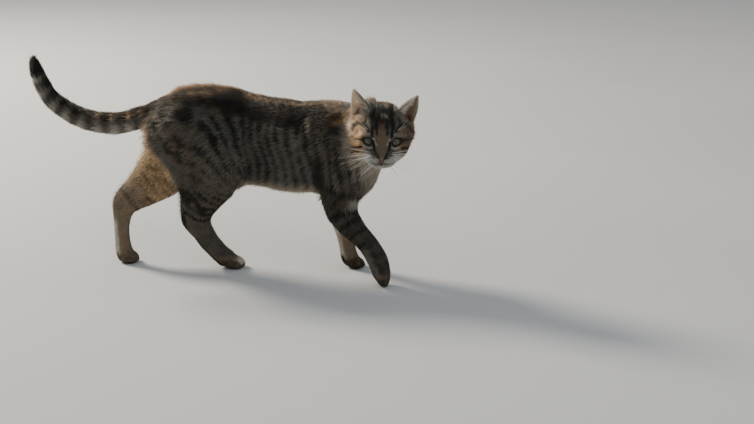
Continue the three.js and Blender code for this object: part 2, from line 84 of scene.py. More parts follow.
def fromHead(points):
    return toFrame(np.asarray(points, float) @ headAxes + head["centre"])


# ---- small tools for arrays of points
def ease(low, high, x):
    t = np.clip((x - low) / (high - low), 0, 1)
    return t * t * (3 - 2 * t)


def blend(a, b, t):
    return a + (b - a) * t


def laid(way, up):  # the way without what rises along up
    return way - up * (way * up).sum(1, keepdims=True)


def unit(v):
    return v / np.maximum(np.linalg.norm(v, axis=-1, keepdims=True), 1e-9)


def cornerValue(ix, iy, iz, seed):
    h = (ix * 374761393 + iy * 668265263 + iz * 1103515245 + seed * 144665) & 0xFFFFFFFF
    h = ((h ^ (h >> 13)) * 1274126177) & 0xFFFFFFFF
    return ((h ^ (h >> 16)) & 0xFFFF) / 32767.5 - 1


def cloud(p, size, seed):  # smooth noise, -1 to 1, over points in millimetres
    q = p / size
    cell = np.floor(q).astype(np.int64)
    f = q - cell
    f = f * f * (3 - 2 * f)
    total = 0
    for dx in (0, 1):
        for dy in (0, 1):
            for dz in (0, 1):
                share = (f[:, 0] if dx else 1 - f[:, 0])
                share = share * (f[:, 1] if dy else 1 - f[:, 1]) * (f[:, 2] if dz else 1 - f[:, 2])
                total = total + share * cornerValue(*(cell + (dx, dy, dz)).T, seed)
    return total


# ---- bones that lead the coat, in the drawing's millimetres
# each station: place, reach of the flesh round it, way the hair lies, hair length
bones = {
    "trunk": [
        ((-86, 14, 216), (30, 30, 26), (-1, 0, -0.35), 15),
        ((-48, 14, 219), (46, 46, 47), (-1, 0, -0.3), 16),
        ((-18, 14, 209.5), (52, 48, 62.5), (-1, 0, -0.28), 16),
        ((6, 14, 201.5), (58, 50, 69), (-1, 0, -0.28), 15),
        ((50, 11, 192), (60, 53, 66), (-1, 0, -0.25), 14),
        ((110, -2, 187), (61, 55, 67), (-1, 0, -0.25), 13),
        ((156, -6, 185), (58, 50, 65), (-1, 0, -0.35), 13),
        ((190, -14, 180), (49, 42, 56), (-0.8, 0, -0.6), 13),
    ],
    "neck": [
        ((172, -6, 204), (46, 44, 46), (-0.9, 0.25, -0.35), 13),
        ((205, -26, 213), (40, 40, 42), (-0.8, 0.35, -0.4), 13),
        ((232, -44, 222), (34, 36, 38), (-0.7, 0.5, -0.4), 11),
    ],
    "chest": [
        ((234, -52, 206), (24, 26, 28), (-0.35, 0.3, -0.9), 12),
        ((197, -18, 147), (30, 32, 32), (-0.4, 0.15, -0.9), 14),
    ],
    "tail": [
        ((-92, 15, 222), 24, (-1, 0, -0.1), 14),
        ((-112, 15, 219), 20, (-1, 0, -0.15), 13),
        ((-150, 12, 211), 18.5, (-1, 0, 0), 13),
        ((-180, 10, 212), 18, (-1, 0, 0.15), 13),
        ((-206, 9, 218), 17, (-0.9, 0, 0.4), 12),
        ((-230, 8, 230), 16, (-0.8, 0, 0.65), 12),
        ((-250, 8, 246), 14.8, (-0.6, 0, 0.85), 12),
        ((-262, 8, 266), 13.5, (-0.4, 0, 0.95), 12),
        ((-270, 8, 286), 12, (-0.2, 0, 1), 12),
        ((-273, 8, 297), 9.5, (-0.1, 0, 1), 11),
    ],
    "hindRight": [
        ((-52, -16, 212), 43, (-0.95, 0, -0.4), 14),
        ((-20, -27, 180), 38, (-0.8, 0, -0.6), 13),
        ((14, -34, 147), 29, (-0.6, 0, -0.8), 11),
        ((-13, -27, 112), 25, (-0.45, 0.1, -0.9), 8),
        ((-30, -14, 78), 20, (-0.15, 0.1, -1), 6.5),
        ((-15, -3, 40), 15.5, (0.45, 0.15, -0.85), 5.5),
        ((7, 5, 16), 14.5, (0.9, 0, -0.3), 4),
        ((29, 6, 9), (8, 15, 8), (1, 0, -0.3), 3),
    ],
    "hindLeft": [
        ((-54, 42, 208), 43, (-0.95, 0, -0.4), 14),
        ((-74, 46, 168), 38, (-0.75, 0, -0.65), 13),
        ((-84, 48, 130), 31, (-0.7, 0, -0.7), 11),
        ((-121, 37, 105), 25, (-0.75, -0.2, -0.6), 8.5),
        ((-149, 24, 84), 17, (-0.4, -0.2, -0.9), 6.5),
        ((-155, 18, 48), 12.5, (-0.05, -0.1, -1), 5.5),
        ((-150, 14, 15), 13, (0.6, 0, -0.7), 4),
        ((-133, 14, 9), (7.6, 14, 7.6), (1, 0, -0.3), 3),
    ],
    "foreRight": [
        ((160, -34, 222), 28, (-0.9, 0, -0.4), 13),
        ((200, -40, 168), 32, (-0.6, 0, -0.8), 12),
        ((184, -46, 124), 28, (-0.4, 0, -0.9), 10),
        ((192, -50, 98), 22.5, (-0.05, 0, -1), 7.5),
        ((207, -53, 79), 17.5, (0.35, 0, -0.9), 6),
        ((226, -56, 60), 15.5, (0.5, 0, -0.85), 5),
        ((240, -58, 38), 15.5, (0.4, 0, -0.9), 4.2),
        ((248, -59, 12), (13, 15, 13), (0.3, 0, -1), 3.2),
    ],
    "foreLeft": [
        ((172, 24, 220), 26, (-0.9, 0, -0.4), 13),
        ((204, 28, 164), 30, (-0.6, 0, -0.8), 12),
        ((170, 32, 110), 21, (-0.2, 0, -1), 8),
        ((172, 33, 80), 16, (0, 0, -1), 6),
        ((180, 33, 42), 13, (0.15, 0, -1), 5),
        ((186, 33, 18), 13, (0.6, 0, -0.7), 4),
        ((206, 33, 8), (8, 14, 7), (1, 0, -0.3), 3),
    ],
}
boneBlend = 5.0  # mm over which one bone's coat passes into the next
# the head counts as one round bone
headReach = {"middle": (14, 0, -2), "half": (50, 45, 42), "round": 45}


def alongBone(p, stations):
    best = None
    start = 0.0
    for one, other in zip(stations[:-1], stations[1:]):
        a, ra, fa, b, rb, fb = (np.broadcast_to(np.array(v, float), 3) for v in one[:3] + other[:3])
        run = b - a
        t = np.clip((p - a) @ run / (run @ run), 0, 1)[:, None]
        centre = a + t * run
        radii = blend(ra, rb, t)
        reach = np.linalg.norm((p - centre) / radii, axis=1)
        found = {
            "off": (reach - 1) * radii.mean(1),
            "along": start + t[:, 0] * np.linalg.norm(run),
            "centre": centre,
            "run": np.broadcast_to(unit(run), p.shape),
            "flow": blend(fa, fb, t),
            "length": blend(one[3], other[3], t[:, 0]),
            "tall": radii[:, 2],
        }
        start += np.linalg.norm(run)
        if best is None:
            best = found
            continue
        nearer = found["off"] < best["off"]
        for key, value in found.items():
            pick = nearer[:, None] if value.ndim == 2 else nearer
            best[key] = np.where(pick, value, best[key])
    return best


# ---- skin: the flesh nodes as one closed surface, lying under the coat
skin = {
    "voxel": 2.35 * mm,
    "overlap": 0.3 * mm,  # each node grows this much so that the cuts close
    "lidFill": 1.3 * mm,  # and the eyeballs this much, to fill their sockets
    "roundsSmooth": 46,
    "depthShare": 0.36,  # how far the skin lies in, against the hair's length
    "lowest": 0.3 * mm,
    "seed": 5,
}
hair = {  # mm
    "brow": 6.5,
    "bridge": 2.0,
    "muzzle": 1.3,
    "cheek": 5.5,  # from here on, how much longer it is there
    "nape": 3,
    "throat": 5,
    "belly": 5,
    "rump": 3.5,
}
eyeNodes = ["eye_right", "eye_left"]
earNodes = ["ear_right", "ear_left"]
fleshNodes = sorted(set(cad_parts) - set(eyeNodes + earNodes + ["nose"]))


def newObject(name, mesh):
    obj = bpy.data.objects.new(name, mesh)
    bpy.context.scene.collection.objects.link(obj)
    return obj


def meshFrom(shape, name):
    mesh = bpy.data.meshes.new(name)
    shape.to_mesh(mesh)
    shape.free()
    return mesh


def inOrder(mesh):  # sorts the faces, which some mesh tools leave in another order each run
    faces = [list(face.vertices) for face in mesh.polygons]
    lowest = [face.index(min(face)) for face in faces]
    faces = sorted(face[k:] + face[:k] for face, k in zip(faces, lowest))
    spots = places(mesh).tolist()
    mesh.clear_geometry()
    mesh.from_pydata(spots, [], faces)
    mesh.update()
    return mesh


def gridMesh(name, columns, rows, size=1):
    shape = bmesh.new()
    bmesh.ops.create_grid(shape, x_segments=columns, y_segments=rows, size=size)
    return meshFrom(shape, name)


def ballMesh(name, around, rings, tipped=0):  # the poles tipped forward by that many degrees
    shape = bmesh.new()
    bmesh.ops.create_uvsphere(shape, u_segments=around, v_segments=rings, radius=1)
    turn = Matrix.Rotation(math.radians(tipped), 3, "Y")
    bmesh.ops.rotate(shape, verts=shape.verts, cent=(0, 0, 0), matrix=turn)
    return inOrder(meshFrom(shape, name))


def welded(shape):
    bmesh.ops.remove_doubles(shape, verts=shape.verts, dist=0.01 * mm)
    bmesh.ops.recalc_face_normals(shape, faces=shape.faces)


def grownCopy(name, by):  # thicker by that much all round
    shape = bmesh.new()
    shape.from_mesh(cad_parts[name].data)
    welded(shape)
    shape.normal_update()
    for v, move in [(v, v.normal * by) for v in shape.verts]:
        v.co += move
    return meshFrom(shape, "part")


def reworked(mesh, change):  # opens a mesh, lets a function change it and closes it again
    shape = bmesh.new()
    shape.from_mesh(mesh)
    change(shape)
    shape.to_mesh(mesh)
    shape.free()


def settled(obj):  # shaded smooth, and standing on the base
    obj.data.polygons.foreach_set("use_smooth", np.ones(len(obj.data.polygons), bool))
    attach(obj, "root")
    return obj


def applied(obj):
    graph = bpy.context.evaluated_depsgraph_get()
    made = bpy.data.meshes.new_from_object(obj.evaluated_get(graph))
    old = obj.data
    obj.modifiers.clear()
    obj.data = made
    bpy.data.meshes.remove(old)


def readAll(items, key, width, kind=float):
    values = np.empty(len(items) * width, kind)
    items.foreach_get(key, values)
    return values.reshape(-1, width)


def places(mesh):
    return readAll(mesh.vertices, "co", 3)


def setPlaces(mesh, co):
    mesh.vertices.foreach_set("co", np.asarray(co, np.float64).ravel())
    mesh.update()


def vertexNormals(mesh):
    return readAll(mesh.vertices, "normal", 3)


def edgeEnds(mesh):
    return readAll(mesh.edges, "vertices", 2, np.int32)


def trianglesOf(mesh):
    mesh.calc_loop_triangles()
    return readAll(mesh.loop_triangles, "vertices", 3, np.int32)


def averaged(values, ends, rounds, strength):  # each point drawn towards the mean of its neighbours
    a, b = ends[:, 0], ends[:, 1]
    count = np.bincount(ends.ravel(), minlength=len(values))[:, None]
    strength = np.broadcast_to(np.asarray(strength, float), (len(values),))[:, None]
    for _ in range(rounds):
        sums = [np.bincount(a, v[b], len(v)) + np.bincount(b, v[a], len(v)) for v in values.T]
        values = values + strength * (np.stack(sums, 1) / np.maximum(count, 1) - values)
    return values


def bonesAt(p):  # for each bone and the head: what it says at these points, and its share in them
    found = {name: alongBone(p, stations) for name, stations in bones.items()}
    local = toHead(toFrame(p))
    reach = np.linalg.norm((local - headReach["middle"]) / headReach["half"], axis=1)
    found["head"] = {"off": (reach - 1) * headReach["round"], "local": local}
    off = np.stack([bone["off"] for bone in found.values()], 1)
    weight = np.exp(-(off - off.min(1, keepdims=True)) / boneBlend)
    weight /= weight.sum(1, keepdims=True)
    for bone, share in zip(found.values(), weight.T):
        bone["share"] = share
    return found


def hairLength(p, normals, found):
    f, l, u = found["head"]["local"].T
    length = blend(hair["brow"], hair["bridge"], ease(12, 44, f))
    cheek = ease(26, 44, np.abs(l)) * ease(14, -6, u)
    length = length + hair["cheek"] * cheek * ease(34, 8, f)
    length = length + hair["nape"] * ease(10, -14, f)
    length = length + hair["throat"] * ease(-16, -34, u) * ease(42, 20, f)
    length = blend(length, hair["muzzle"], ease(44, 58, f))
    total = found["head"]["share"] * length
    for name in bones:
        total = total + found[name]["share"] * found[name]["length"]
    trunk = found["trunk"]["share"]
    belly = trunk * ease(-0.55, -0.95, normals[:, 2])
    rump = trunk * ease(0.75, 0.98, normals[:, 2]) * ease(-55, -40, p[:, 0]) * ease(20, 0, p[:, 0])
    return total + belly * hair["belly"] + hair["rump"] * rump


print("skin: joining the flesh nodes")
whole = bmesh.new()
for name in fleshNodes + eyeNodes + ["nose"]:
    part = grownCopy(name, skin["lidFill"] if name in eyeNodes else skin["overlap"])
    whole.from_mesh(part)
    bpy.data.meshes.remove(part)
skinObject = newObject("skin", meshFrom(whole, "skin"))
remesh = skinObject.modifiers.new("close", "REMESH")
remesh.mode = "VOXEL"
remesh.voxel_size = skin["voxel"]
applied(skinObject)
print("skin: remeshed to", len(skinObject.data.polygons), "faces")

ends = edgeEnds(skinObject.data)
start = places(skinObject.data)
found = bonesAt(toDrawing(start))
thin = sum(found[name]["share"] * ease(1, 0, found[name]["length"] / 9) for name in bones)
strength = 0.5 * (1 - 0.75 * found["head"]["share"]) * (1 - 0.5 * np.clip(thin, 0, 1))
soft = averaged(start, ends, skin["roundsSmooth"], strength)
soft = soft + averaged(start - soft, ends, skin["roundsSmooth"], strength)
setPlaces(skinObject.data, soft)

normals = vertexNormals(skinObject.data)
drawing = toDrawing(soft)
depth = hairLength(drawing, normals, bonesAt(drawing)) * skin["depthShare"]
depth = averaged(depth[:, None], ends, 8, 0.5)
normals = unit(averaged(normals, ends, 4, 0.5))
setPlaces(skinObject.data, soft - normals * depth * mm)
print("skin: smoothed and set under the coat")

# ---- the lids' almond openings, measured in millimetres over each eyeball
lids = {
    "half": 8.3,  # corner to corner is twice this
    "above": 5.0,
    "below": 5.7,
    "lift": 41,
    "splay": {-1: -8, 1: 9},
    "slant": 19,  # the outer corner is the higher
    "sunk": 1.7,  # the skin behind the opening lies this deep under the ball's face
    "proud": 0.85,
    "spread": 6.5,  # how far the lid's rise runs out into the cheek
    "near": 2.6,
    "rim": {"least": 1.5, "corner": 1.5, "lower": 0.6},  # its width, and how much more there
}


def eyeCentre(side):
    return np.array([eyeSeat["forward"], side * eyeSeat["side"], eyeSeat["up"]])


def aimed(lift, turn):  # across to the left, up, and along a direction given in degrees
    lift, turn = math.radians(lift), math.radians(turn)
    level = math.cos(lift)
    ahead = np.array([level * math.cos(turn), level * math.sin(turn), math.sin(lift)])
    across = unit(np.cross((0, 0, 1), ahead))
    return np.array([across, np.cross(ahead, across), ahead])


def eyeBasis(side):  # outward, upward and forward of one opening, in the head's axes
    slant = math.radians(lids["slant"])
    across, upward, ahead = aimed(lids["lift"], side * lids["splay"][side])
    outward = side * across
    return np.array([
        outward * math.cos(slant) + upward * math.sin(slant),
        upward * math.cos(slant) - outward * math.sin(slant),
        ahead,
    ])


def overBall(local, side):  # millimetres over the ball, outward and upward of the opening's middle
    away = (local - eyeCentre(side)) @ eyeBasis(side).T
    angleOut = np.arctan2(away[:, 0], away[:, 2])
    angleUp = np.arctan2(away[:, 1], np.hypot(away[:, 0], away[:, 2]))
    return angleOut * eyeSeat["radius"], angleUp * eyeSeat["radius"], away


def lidEdge(out, up):  # how far outside the almond, in millimetres; negative inside it
    reach = []
    for rise, turned in ((lids["above"], 1), (lids["below"], -1)):
        radius = (lids["half"] ** 2 + rise**2) / (2 * rise)
        reach.append(np.hypot(out, turned * up + radius - rise) - radius)
    return np.maximum(*reach)


def lidGap(local, side):  # the same for points of the head, growing as they leave the ball's face
    out, up, away = overBall(local, side)
    clear = np.linalg.norm(away, axis=1) - eyeSeat["radius"]
    return lidEdge(out, up) + 2.2 * np.maximum(clear - lids["near"], 0)


def lidRimWidth(local, side):
    out, up, _ = overBall(local, side)
    rim = lids["rim"]
    return rim["least"] + rim["corner"] * ease(-3, -9, out) + rim["lower"] * ease(0, -5, up)


# ---- toes: four on each foot, parted by grooves that run back from their tips
# each foot: the root of its toes, the way they point, the way across them, and their spacing in mm
feet = {
    "hindRight": ((12, 6, 9.2), (1, 0.02, -0.16), (-0.02, 1, 0), 7.5),
    "hindLeft": ((-147.5, 14, 8.6), (1, -0.04, -0.16), (0.04, 1, 0), 7.3),
    "foreRight": ((247, -59, 22.6), (0.16, -0.04, -1), (0.05, 1, 0), 7.6),
    "foreLeft": ((190, 33, 7.2), (1, -0.1, -0.16), (0.1, 1, 0), 7.2),
}
toes = {"depth": 1.9, "width": 1.25, "behind": 4, "rise": 0.7}


def toeShares(p):  # how much of a groove and of a toe's back there is at each point
    groove, back = np.zeros(len(p)), np.zeros(len(p))
    for root, point, across, apart in feet.values():
        away = p - np.array(root, float)
        ahead = away @ unit(np.array(point, float))
        over = np.abs(away @ unit(np.array(across, float)))
        here = ease(-toes["behind"], 6, ahead) * ease(34, 26, np.linalg.norm(away, axis=1))
        line = np.minimum(over, np.abs(over - apart))
        groove = np.maximum(groove, here * np.exp(-((line / toes["width"]) ** 2)))
        middle = np.minimum(np.abs(over - 0.5 * apart), np.abs(over - 1.5 * apart))
        back = np.maximum(back, here * np.exp(-((middle / (0.3 * apart)) ** 2)))
    return groove, back


# ---- finer mesh over the face and feet
finer = {  # mm: middle and half size of a box on the head, or how near
    "face": ((112, 0, -2), (100, 34, 34)),
    "muzzle": ((144, 0, -10), (100, 17, 14)),
    "lids": 3.5,
    "feet": 26,
}


def onFace(local):
    return (np.abs(local - finer["face"][0]) < finer["face"][1]).all(1)


def onMuzzle(local):
    return (np.abs(local - finer["muzzle"][0]) < finer["muzzle"][1]).all(1)


def onLids(local):
    near = np.min([np.abs(lidGap(local, side)) for side in (-1, 1)], 0)
    return (near < finer["lids"]) & (local[:, 0] >= 30)


def onFeet(local):
    p = toDrawing(fromHead(local))
    near = [np.linalg.norm(p - np.array(foot[0], float), axis=1) for foot in feet.values()]
    return np.min(near, 0) < finer["feet"]


def refined(mesh, zones):
    def cut(shape):
        for zone in zones:
            picked = zone(toHead(np.array([f.calc_center_median() for f in shape.faces])))
            edges = {e for f, yes in zip(shape.faces, picked) if yes for e in f.edges}
            bmesh.ops.subdivide_edges(shape, edges=list(edges), cuts=1, use_grid_fill=True)

    reworked(mesh, cut)


refined(skinObject.data, [onFace, onMuzzle, onFeet])
ends = edgeEnds(skinObject.data)
co = places(skinObject.data)
local = toHead(co)
inFace = ease(8, 16, local[:, 0]) * ease(40, 34, np.linalg.norm(local[:, 1:] - [0, -2], axis=1))
setPlaces(skinObject.data, averaged(co, ends, 6, 0.5 * inFace))
refined(skinObject.data, [onLids])

# ---- sculpting the face, in the head's own axes
face = {
    "whiskerPad": {"at": (53, 7.5, -10.5), "reach": 6.5, "rise": 1.5},
    "chin": {"at": (52, 0, -19), "reach": 6, "rise": 0.8},
    "browRidge": {"at": (33, 17, 17), "reach": 8, "rise": 1.1},
    "bridgeDip": {"at": (45, 0, 8), "reach": 8, "rise": -0.9},
    "philtrum": {"width": 0.7, "depth": 0.9, "top": -9, "bottom": -13.5},
    "mouth": {"centre": -13.8, "dip": 1.5, "corner": 2.6, "width": 0.6, "depth": 1.0, "back": 41},
}


def mouthLine(across):
    mouth = face["mouth"]
    height = mouth["centre"] - mouth["dip"] * ease(0, 4.5, across)
    return height + mouth["corner"] * ease(4, 13, across)


def mouthShare(local):
    mouth = face["mouth"]
    across = np.abs(local[:, 1])
    line = np.exp(-(((local[:, 2] - mouthLine(across)) / mouth["width"]) ** 2))
    return line * ease(mouth["back"] - 3, mouth["back"] + 3, local[:, 0]) * ease(13, 10, across)


def philtrumShare(local):
    groove = face["philtrum"]
    top, bottom = groove["top"], groove["bottom"]
    f, l, u = local.T
    line = np.exp(-((l / groove["width"]) ** 2)) * ease(54, 57, f)
    return line * ease(bottom - 1, bottom, u) * ease(top + 1, top, u)


def sculpted(local, normals):
    moved = np.zeros(len(local))
    for name in ("whiskerPad", "chin", "browRidge", "bridgeDip"):
        spot = face[name]
        for side in (-1, 1) if spot["at"][1] else (1,):
            gap = np.linalg.norm(local - np.array(spot["at"]) * [1, side, 1], axis=1)
            moved += spot["rise"] * np.exp(-((gap / spot["reach"]) ** 2))
    moved -= face["mouth"]["depth"] * mouthShare(local)
    moved -= face["philtrum"]["depth"] * philtrumShare(local)
    local = local + normals * moved[:, None]
    radius = eyeSeat["radius"]
    for side in (-1, 1):
        away = overBall(local, side)[2]
        edge = lidGap(local, side)
        distance = np.linalg.norm(away, axis=1)
        lid = blend(radius - lids["sunk"], radius + lids["proud"], ease(-0.7, 0.15, edge))
        wanted = blend(lid, distance, ease(0.3, lids["spread"], edge))
        near = (away[:, 2] > 0) & (distance < 2 * radius)
        wanted = np.where(near, wanted, distance)
        local = eyeCentre(side) + (local - eyeCentre(side)) * (wanted / distance)[:, None]
    return local


co = places(skinObject.data)
normals = vertexNormals(skinObject.data)
local = toHead(co)
ahead = local[:, 0] > 5
co[ahead] = fromHead(sculpted(local[ahead], (normals @ headAxes.T)[ahead]))
groove, back = toeShares(toDrawing(co))
shaping = (toes["rise"] * back - toes["depth"] * groove) * mm
co = co + normals * shaping[:, None]
co[:, 2] = np.maximum(co[:, 2], skin["lowest"])
setPlaces(skinObject.data, co)
settled(skinObject)
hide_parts(*fleshNodes)
skinCorners = trianglesOf(skinObject.data)
print("skin: face sculpted,", len(skinCorners), "triangles")

# ---- eyeballs with the cornea's bulge, their poles on the line of sight
ball = {"around": 48, "rings": 32, "bulge": 0.9, "cornea": 46, "lift": 38, "turn": 1.3, "apart": 3}


def sightBasis(side):  # across to the left, up, and along one eye's line of sight
    return aimed(ball["lift"], ball["turn"] + side * ball["apart"])


def eyeBall(name, side):
    mesh = ballMesh(name, ball["around"], ball["rings"])
    co = places(mesh)
    off = np.degrees(np.arccos(np.clip(co[:, 2], -1, 1)))
    bulge = np.clip(1 - (off / ball["cornea"]) ** 2, 0, 1) ** 2 * ball["bulge"]
    local = (co * (eyeSeat["radius"] + bulge)[:, None]) @ sightBasis(side) + eyeCentre(side)
    setPlaces(mesh, fromHead(local))
    return settled(newObject(name, mesh))


eyeBalls = {}
for node, side in (("eye_right", -1), ("eye_left", 1)):
    eyeBalls[side] = eyeBall(node.replace("eye", "eyeball"), side)
    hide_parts(node)

# dark lid margins that close each opening against the ball
margin = {"around": 72, "section": 10, "half": 0.75, "thick": 0.5, "height": 0.35, "farthest": 12.0}


def lidMargin(name, side):
    mesh = gridMesh(name, margin["around"], margin["section"])
    co = places(mesh)
    turn = (co[:, 0] + 1) * math.pi
    heading = np.stack([np.cos(turn), np.sin(turn)], 1)
    low, high = np.zeros(len(turn)), np.full(len(turn), margin["farthest"])
    for _ in range(30):  # halving the gap to the almond's edge
        mid = (low + high) / 2
        inside = lidEdge(heading[:, 0] * mid, heading[:, 1] * mid) < 0
        low, high = np.where(inside, mid, low), np.where(inside, high, mid)
    section = (co[:, 1] + 1) * math.pi
    over = low + margin["half"] * (0.3 + np.cos(section))
    raised = eyeSeat["radius"] + margin["height"] + margin["thick"] * np.sin(section)
    out, up = heading[:, 0] * over / eyeSeat["radius"], heading[:, 1] * over / eyeSeat["radius"]
    aim = np.stack([np.sin(out) * np.cos(up), np.sin(up), np.cos(out) * np.cos(up)], 1)
    setPlaces(mesh, fromHead((aim * raised[:, None]) @ eyeBasis(side) + eyeCentre(side)))
    reworked(mesh, welded)
    return settled(newObject(name, mesh))


lidMargins = [lidMargin("lid_margin_right", -1), lidMargin("lid_margin_left", 1)]
print("eyes: two balls and their lid margins")

# ---- nose leather with two comma-shaped nostrils
noseShape = {
    "centre": (62.6, 0, -5.6),
    "half": (4.9, 5.0, 4.2),
    "around": 64,
    "rings": 48,
    "square": 0.12,
    "pinch": 0.5,  # how much narrower the foot is than the top
    "nostril": {"across": 2.8, "up": -6.6, "reach": (1.5, 1.05), "depth": 1.9, "tilt": 35},
    "groove": {"width": 0.45, "depth": 0.6},
}


def nostrilShare(local):
    hole = noseShape["nostril"]
    tilt = math.radians(hole["tilt"])
    across, up = np.abs(local[:, 1]) - hole["across"], local[:, 2] - hole["up"]
    along = across * math.cos(tilt) + up * math.sin(tilt)
    over = up * math.cos(tilt) - across * math.sin(tilt) - 0.18 * along**2
    pit = np.exp(-((along / hole["reach"][0]) ** 2) - (over / (0.62 * hole["reach"][1])) ** 2)
    return pit * (local[:, 0] > noseShape["centre"][0])


noseMesh = ballMesh("nose_leather", noseShape["around"], noseShape["rings"], 90)
co = places(noseMesh)
squareness = 1 + noseShape["square"] * (1 - np.abs(co[:, 1])) * np.abs(co[:, 2])
narrow = 1 - noseShape["pinch"] * ease(0.2, -1.0, co[:, 2])
share = np.stack([squareness, narrow, np.ones(len(co))], 1)
local = co * noseShape["half"] * share + noseShape["centre"]
local[:, 0] -= noseShape["nostril"]["depth"] * nostrilShare(local)
seam = np.exp(-((local[:, 1] / noseShape["groove"]["width"]) ** 2)) * ease(-4, -7, local[:, 2])
local[:, 0] -= noseShape["groove"]["depth"] * seam
# painted shade in the nostrils and down the groove in the middle of the leather
noseHollowShade = np.clip(1.3 * nostrilShare(local) + 0.8 * seam, 0, 1)
setPlaces(noseMesh, fromHead(local))
noseLeather = settled(newObject("nose_leather", noseMesh))
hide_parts("nose")
print("nose: leather shaped")

# ---- ears: cupped shells, drawn on a grid from root to tip and margin to margin
earShape = {
    "columns": 30,
    "rows": 36,
    "root": 0.24,  # how far it runs on below the skin, against its height
    "bulge": 0.16,
    "tipWidth": 0.05,
    "tipRound": 0.06,
    "cup": 9,
    "thickness": 1.3,
    "pocket": {"across": 0.9, "rise": 0.2, "reach": (0.05, 0.1), "height": 1.6},
    "fold": {"across": 0.75, "reach": 0.07, "height": 0.9},
}
ears = {
    "right": {"inner": (6, -15, 29), "outer": (-6, -39, 12), "tip": (-2, -40, 62)},
    "left": {"inner": (4, 17, 27), "outer": (-6, 43, 6), "tip": (-2, 47, 54)},
}


def earPoints(ear):
    return (np.array(ear[key], float) for key in ("inner", "outer", "tip"))


def earPlaces(ear, across, rise):  # across 0 at the inner margin, 1 at the outer; rise 1 at the tip
    inner, outer, tip = earPoints(ear)
    facing = unit(np.cross(outer - inner, tip - inner))
    facing = facing * np.sign(facing[0])
    up = np.maximum(rise, 0)
    width = (1 - up) + earShape["bulge"] * np.sin(math.pi * up)
    width = width + earShape["tipWidth"] * (rise + earShape["root"]) / (1 + earShape["root"])
    width = width * np.sqrt(np.clip((1.012 - rise) / earShape["tipRound"], 0, 1))
    middle = (inner + outer) / 2
    place = middle + rise[:, None] * (tip - middle)
    place = place + ((across - 0.5) * width)[:, None] * (outer - inner)
    depth = earShape["cup"] * np.sin(math.pi * across) * width
    pocket, fold = earShape["pocket"], earShape["fold"]
    wide, tall = pocket["reach"]
    off = (across - pocket["across"]) / wide, (rise - pocket["rise"]) / tall
    bump = np.exp(-(off[0] ** 2) - off[1] ** 2)
    ridge = np.exp(-(((across - fold["across"]) / fold["reach"]) ** 2)) * ease(0.75, 0.1, rise)
    raised = pocket["height"] * bump + fold["height"] * ridge - depth
    return place + raised[:, None] * facing, facing


def earShell(name, ear):
    mesh = gridMesh(name, earShape["columns"], earShape["rows"])
    co = places(mesh)
    rise = blend(-earShape["root"], 1.0, (co[:, 1] + 1) / 2)
    local, facing = earPlaces(ear, (co[:, 0] + 1) / 2, rise)
    setPlaces(mesh, fromHead(local))
    ahead = Vector(facing @ headAxes)

    def thickened(shape):
        shape.normal_update()
        if sum(f.normal.dot(ahead) for f in shape.faces) < 0:
            bmesh.ops.reverse_faces(shape, faces=shape.faces)
        bmesh.ops.solidify(shape, geom=shape.faces[:], thickness=earShape["thickness"] * mm)
        bmesh.ops.recalc_face_normals(shape, faces=shape.faces)

    reworked(mesh, thickened)
    return settled(newObject(name, inOrder(mesh)))


earShells = {}
for which, ear in ears.items():
    earShells[which] = earShell("ear_shell_" + which, ear)
    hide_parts("ear_" + which)
print("ears: two shells")

# ---- what the coat is like at each point of the skin
partsFrom = (68, 0, -4)  # the point before the nose that the hair of the face turns away from


def headFlow(local):  # back from the nose, down the cheeks and along the throat
    f, l, u = local.T
    side = np.abs(l)
    flow = unit(local - partsFrom) + np.stack([
        -0.35 * ease(20, 34, side),
        0.25 * np.sign(l) * ease(4, 16, side) * ease(10, 30, f),
        -0.55 * ease(16, 32, side) * ease(20, 0, u),
    ], 1)
    return unit(blend(unit(flow), np.array([-1, 0, -0.3]), ease(-16, -26, u)[:, None]))


def lieOfHair(normals, found):
    flow = found["head"]["share"][:, None] * (headFlow(found["head"]["local"]) @ headAxes)
    for name in bones:
        flow = flow + found[name]["share"][:, None] * unit(found[name]["flow"])
    return unit(laid(flow, normals))


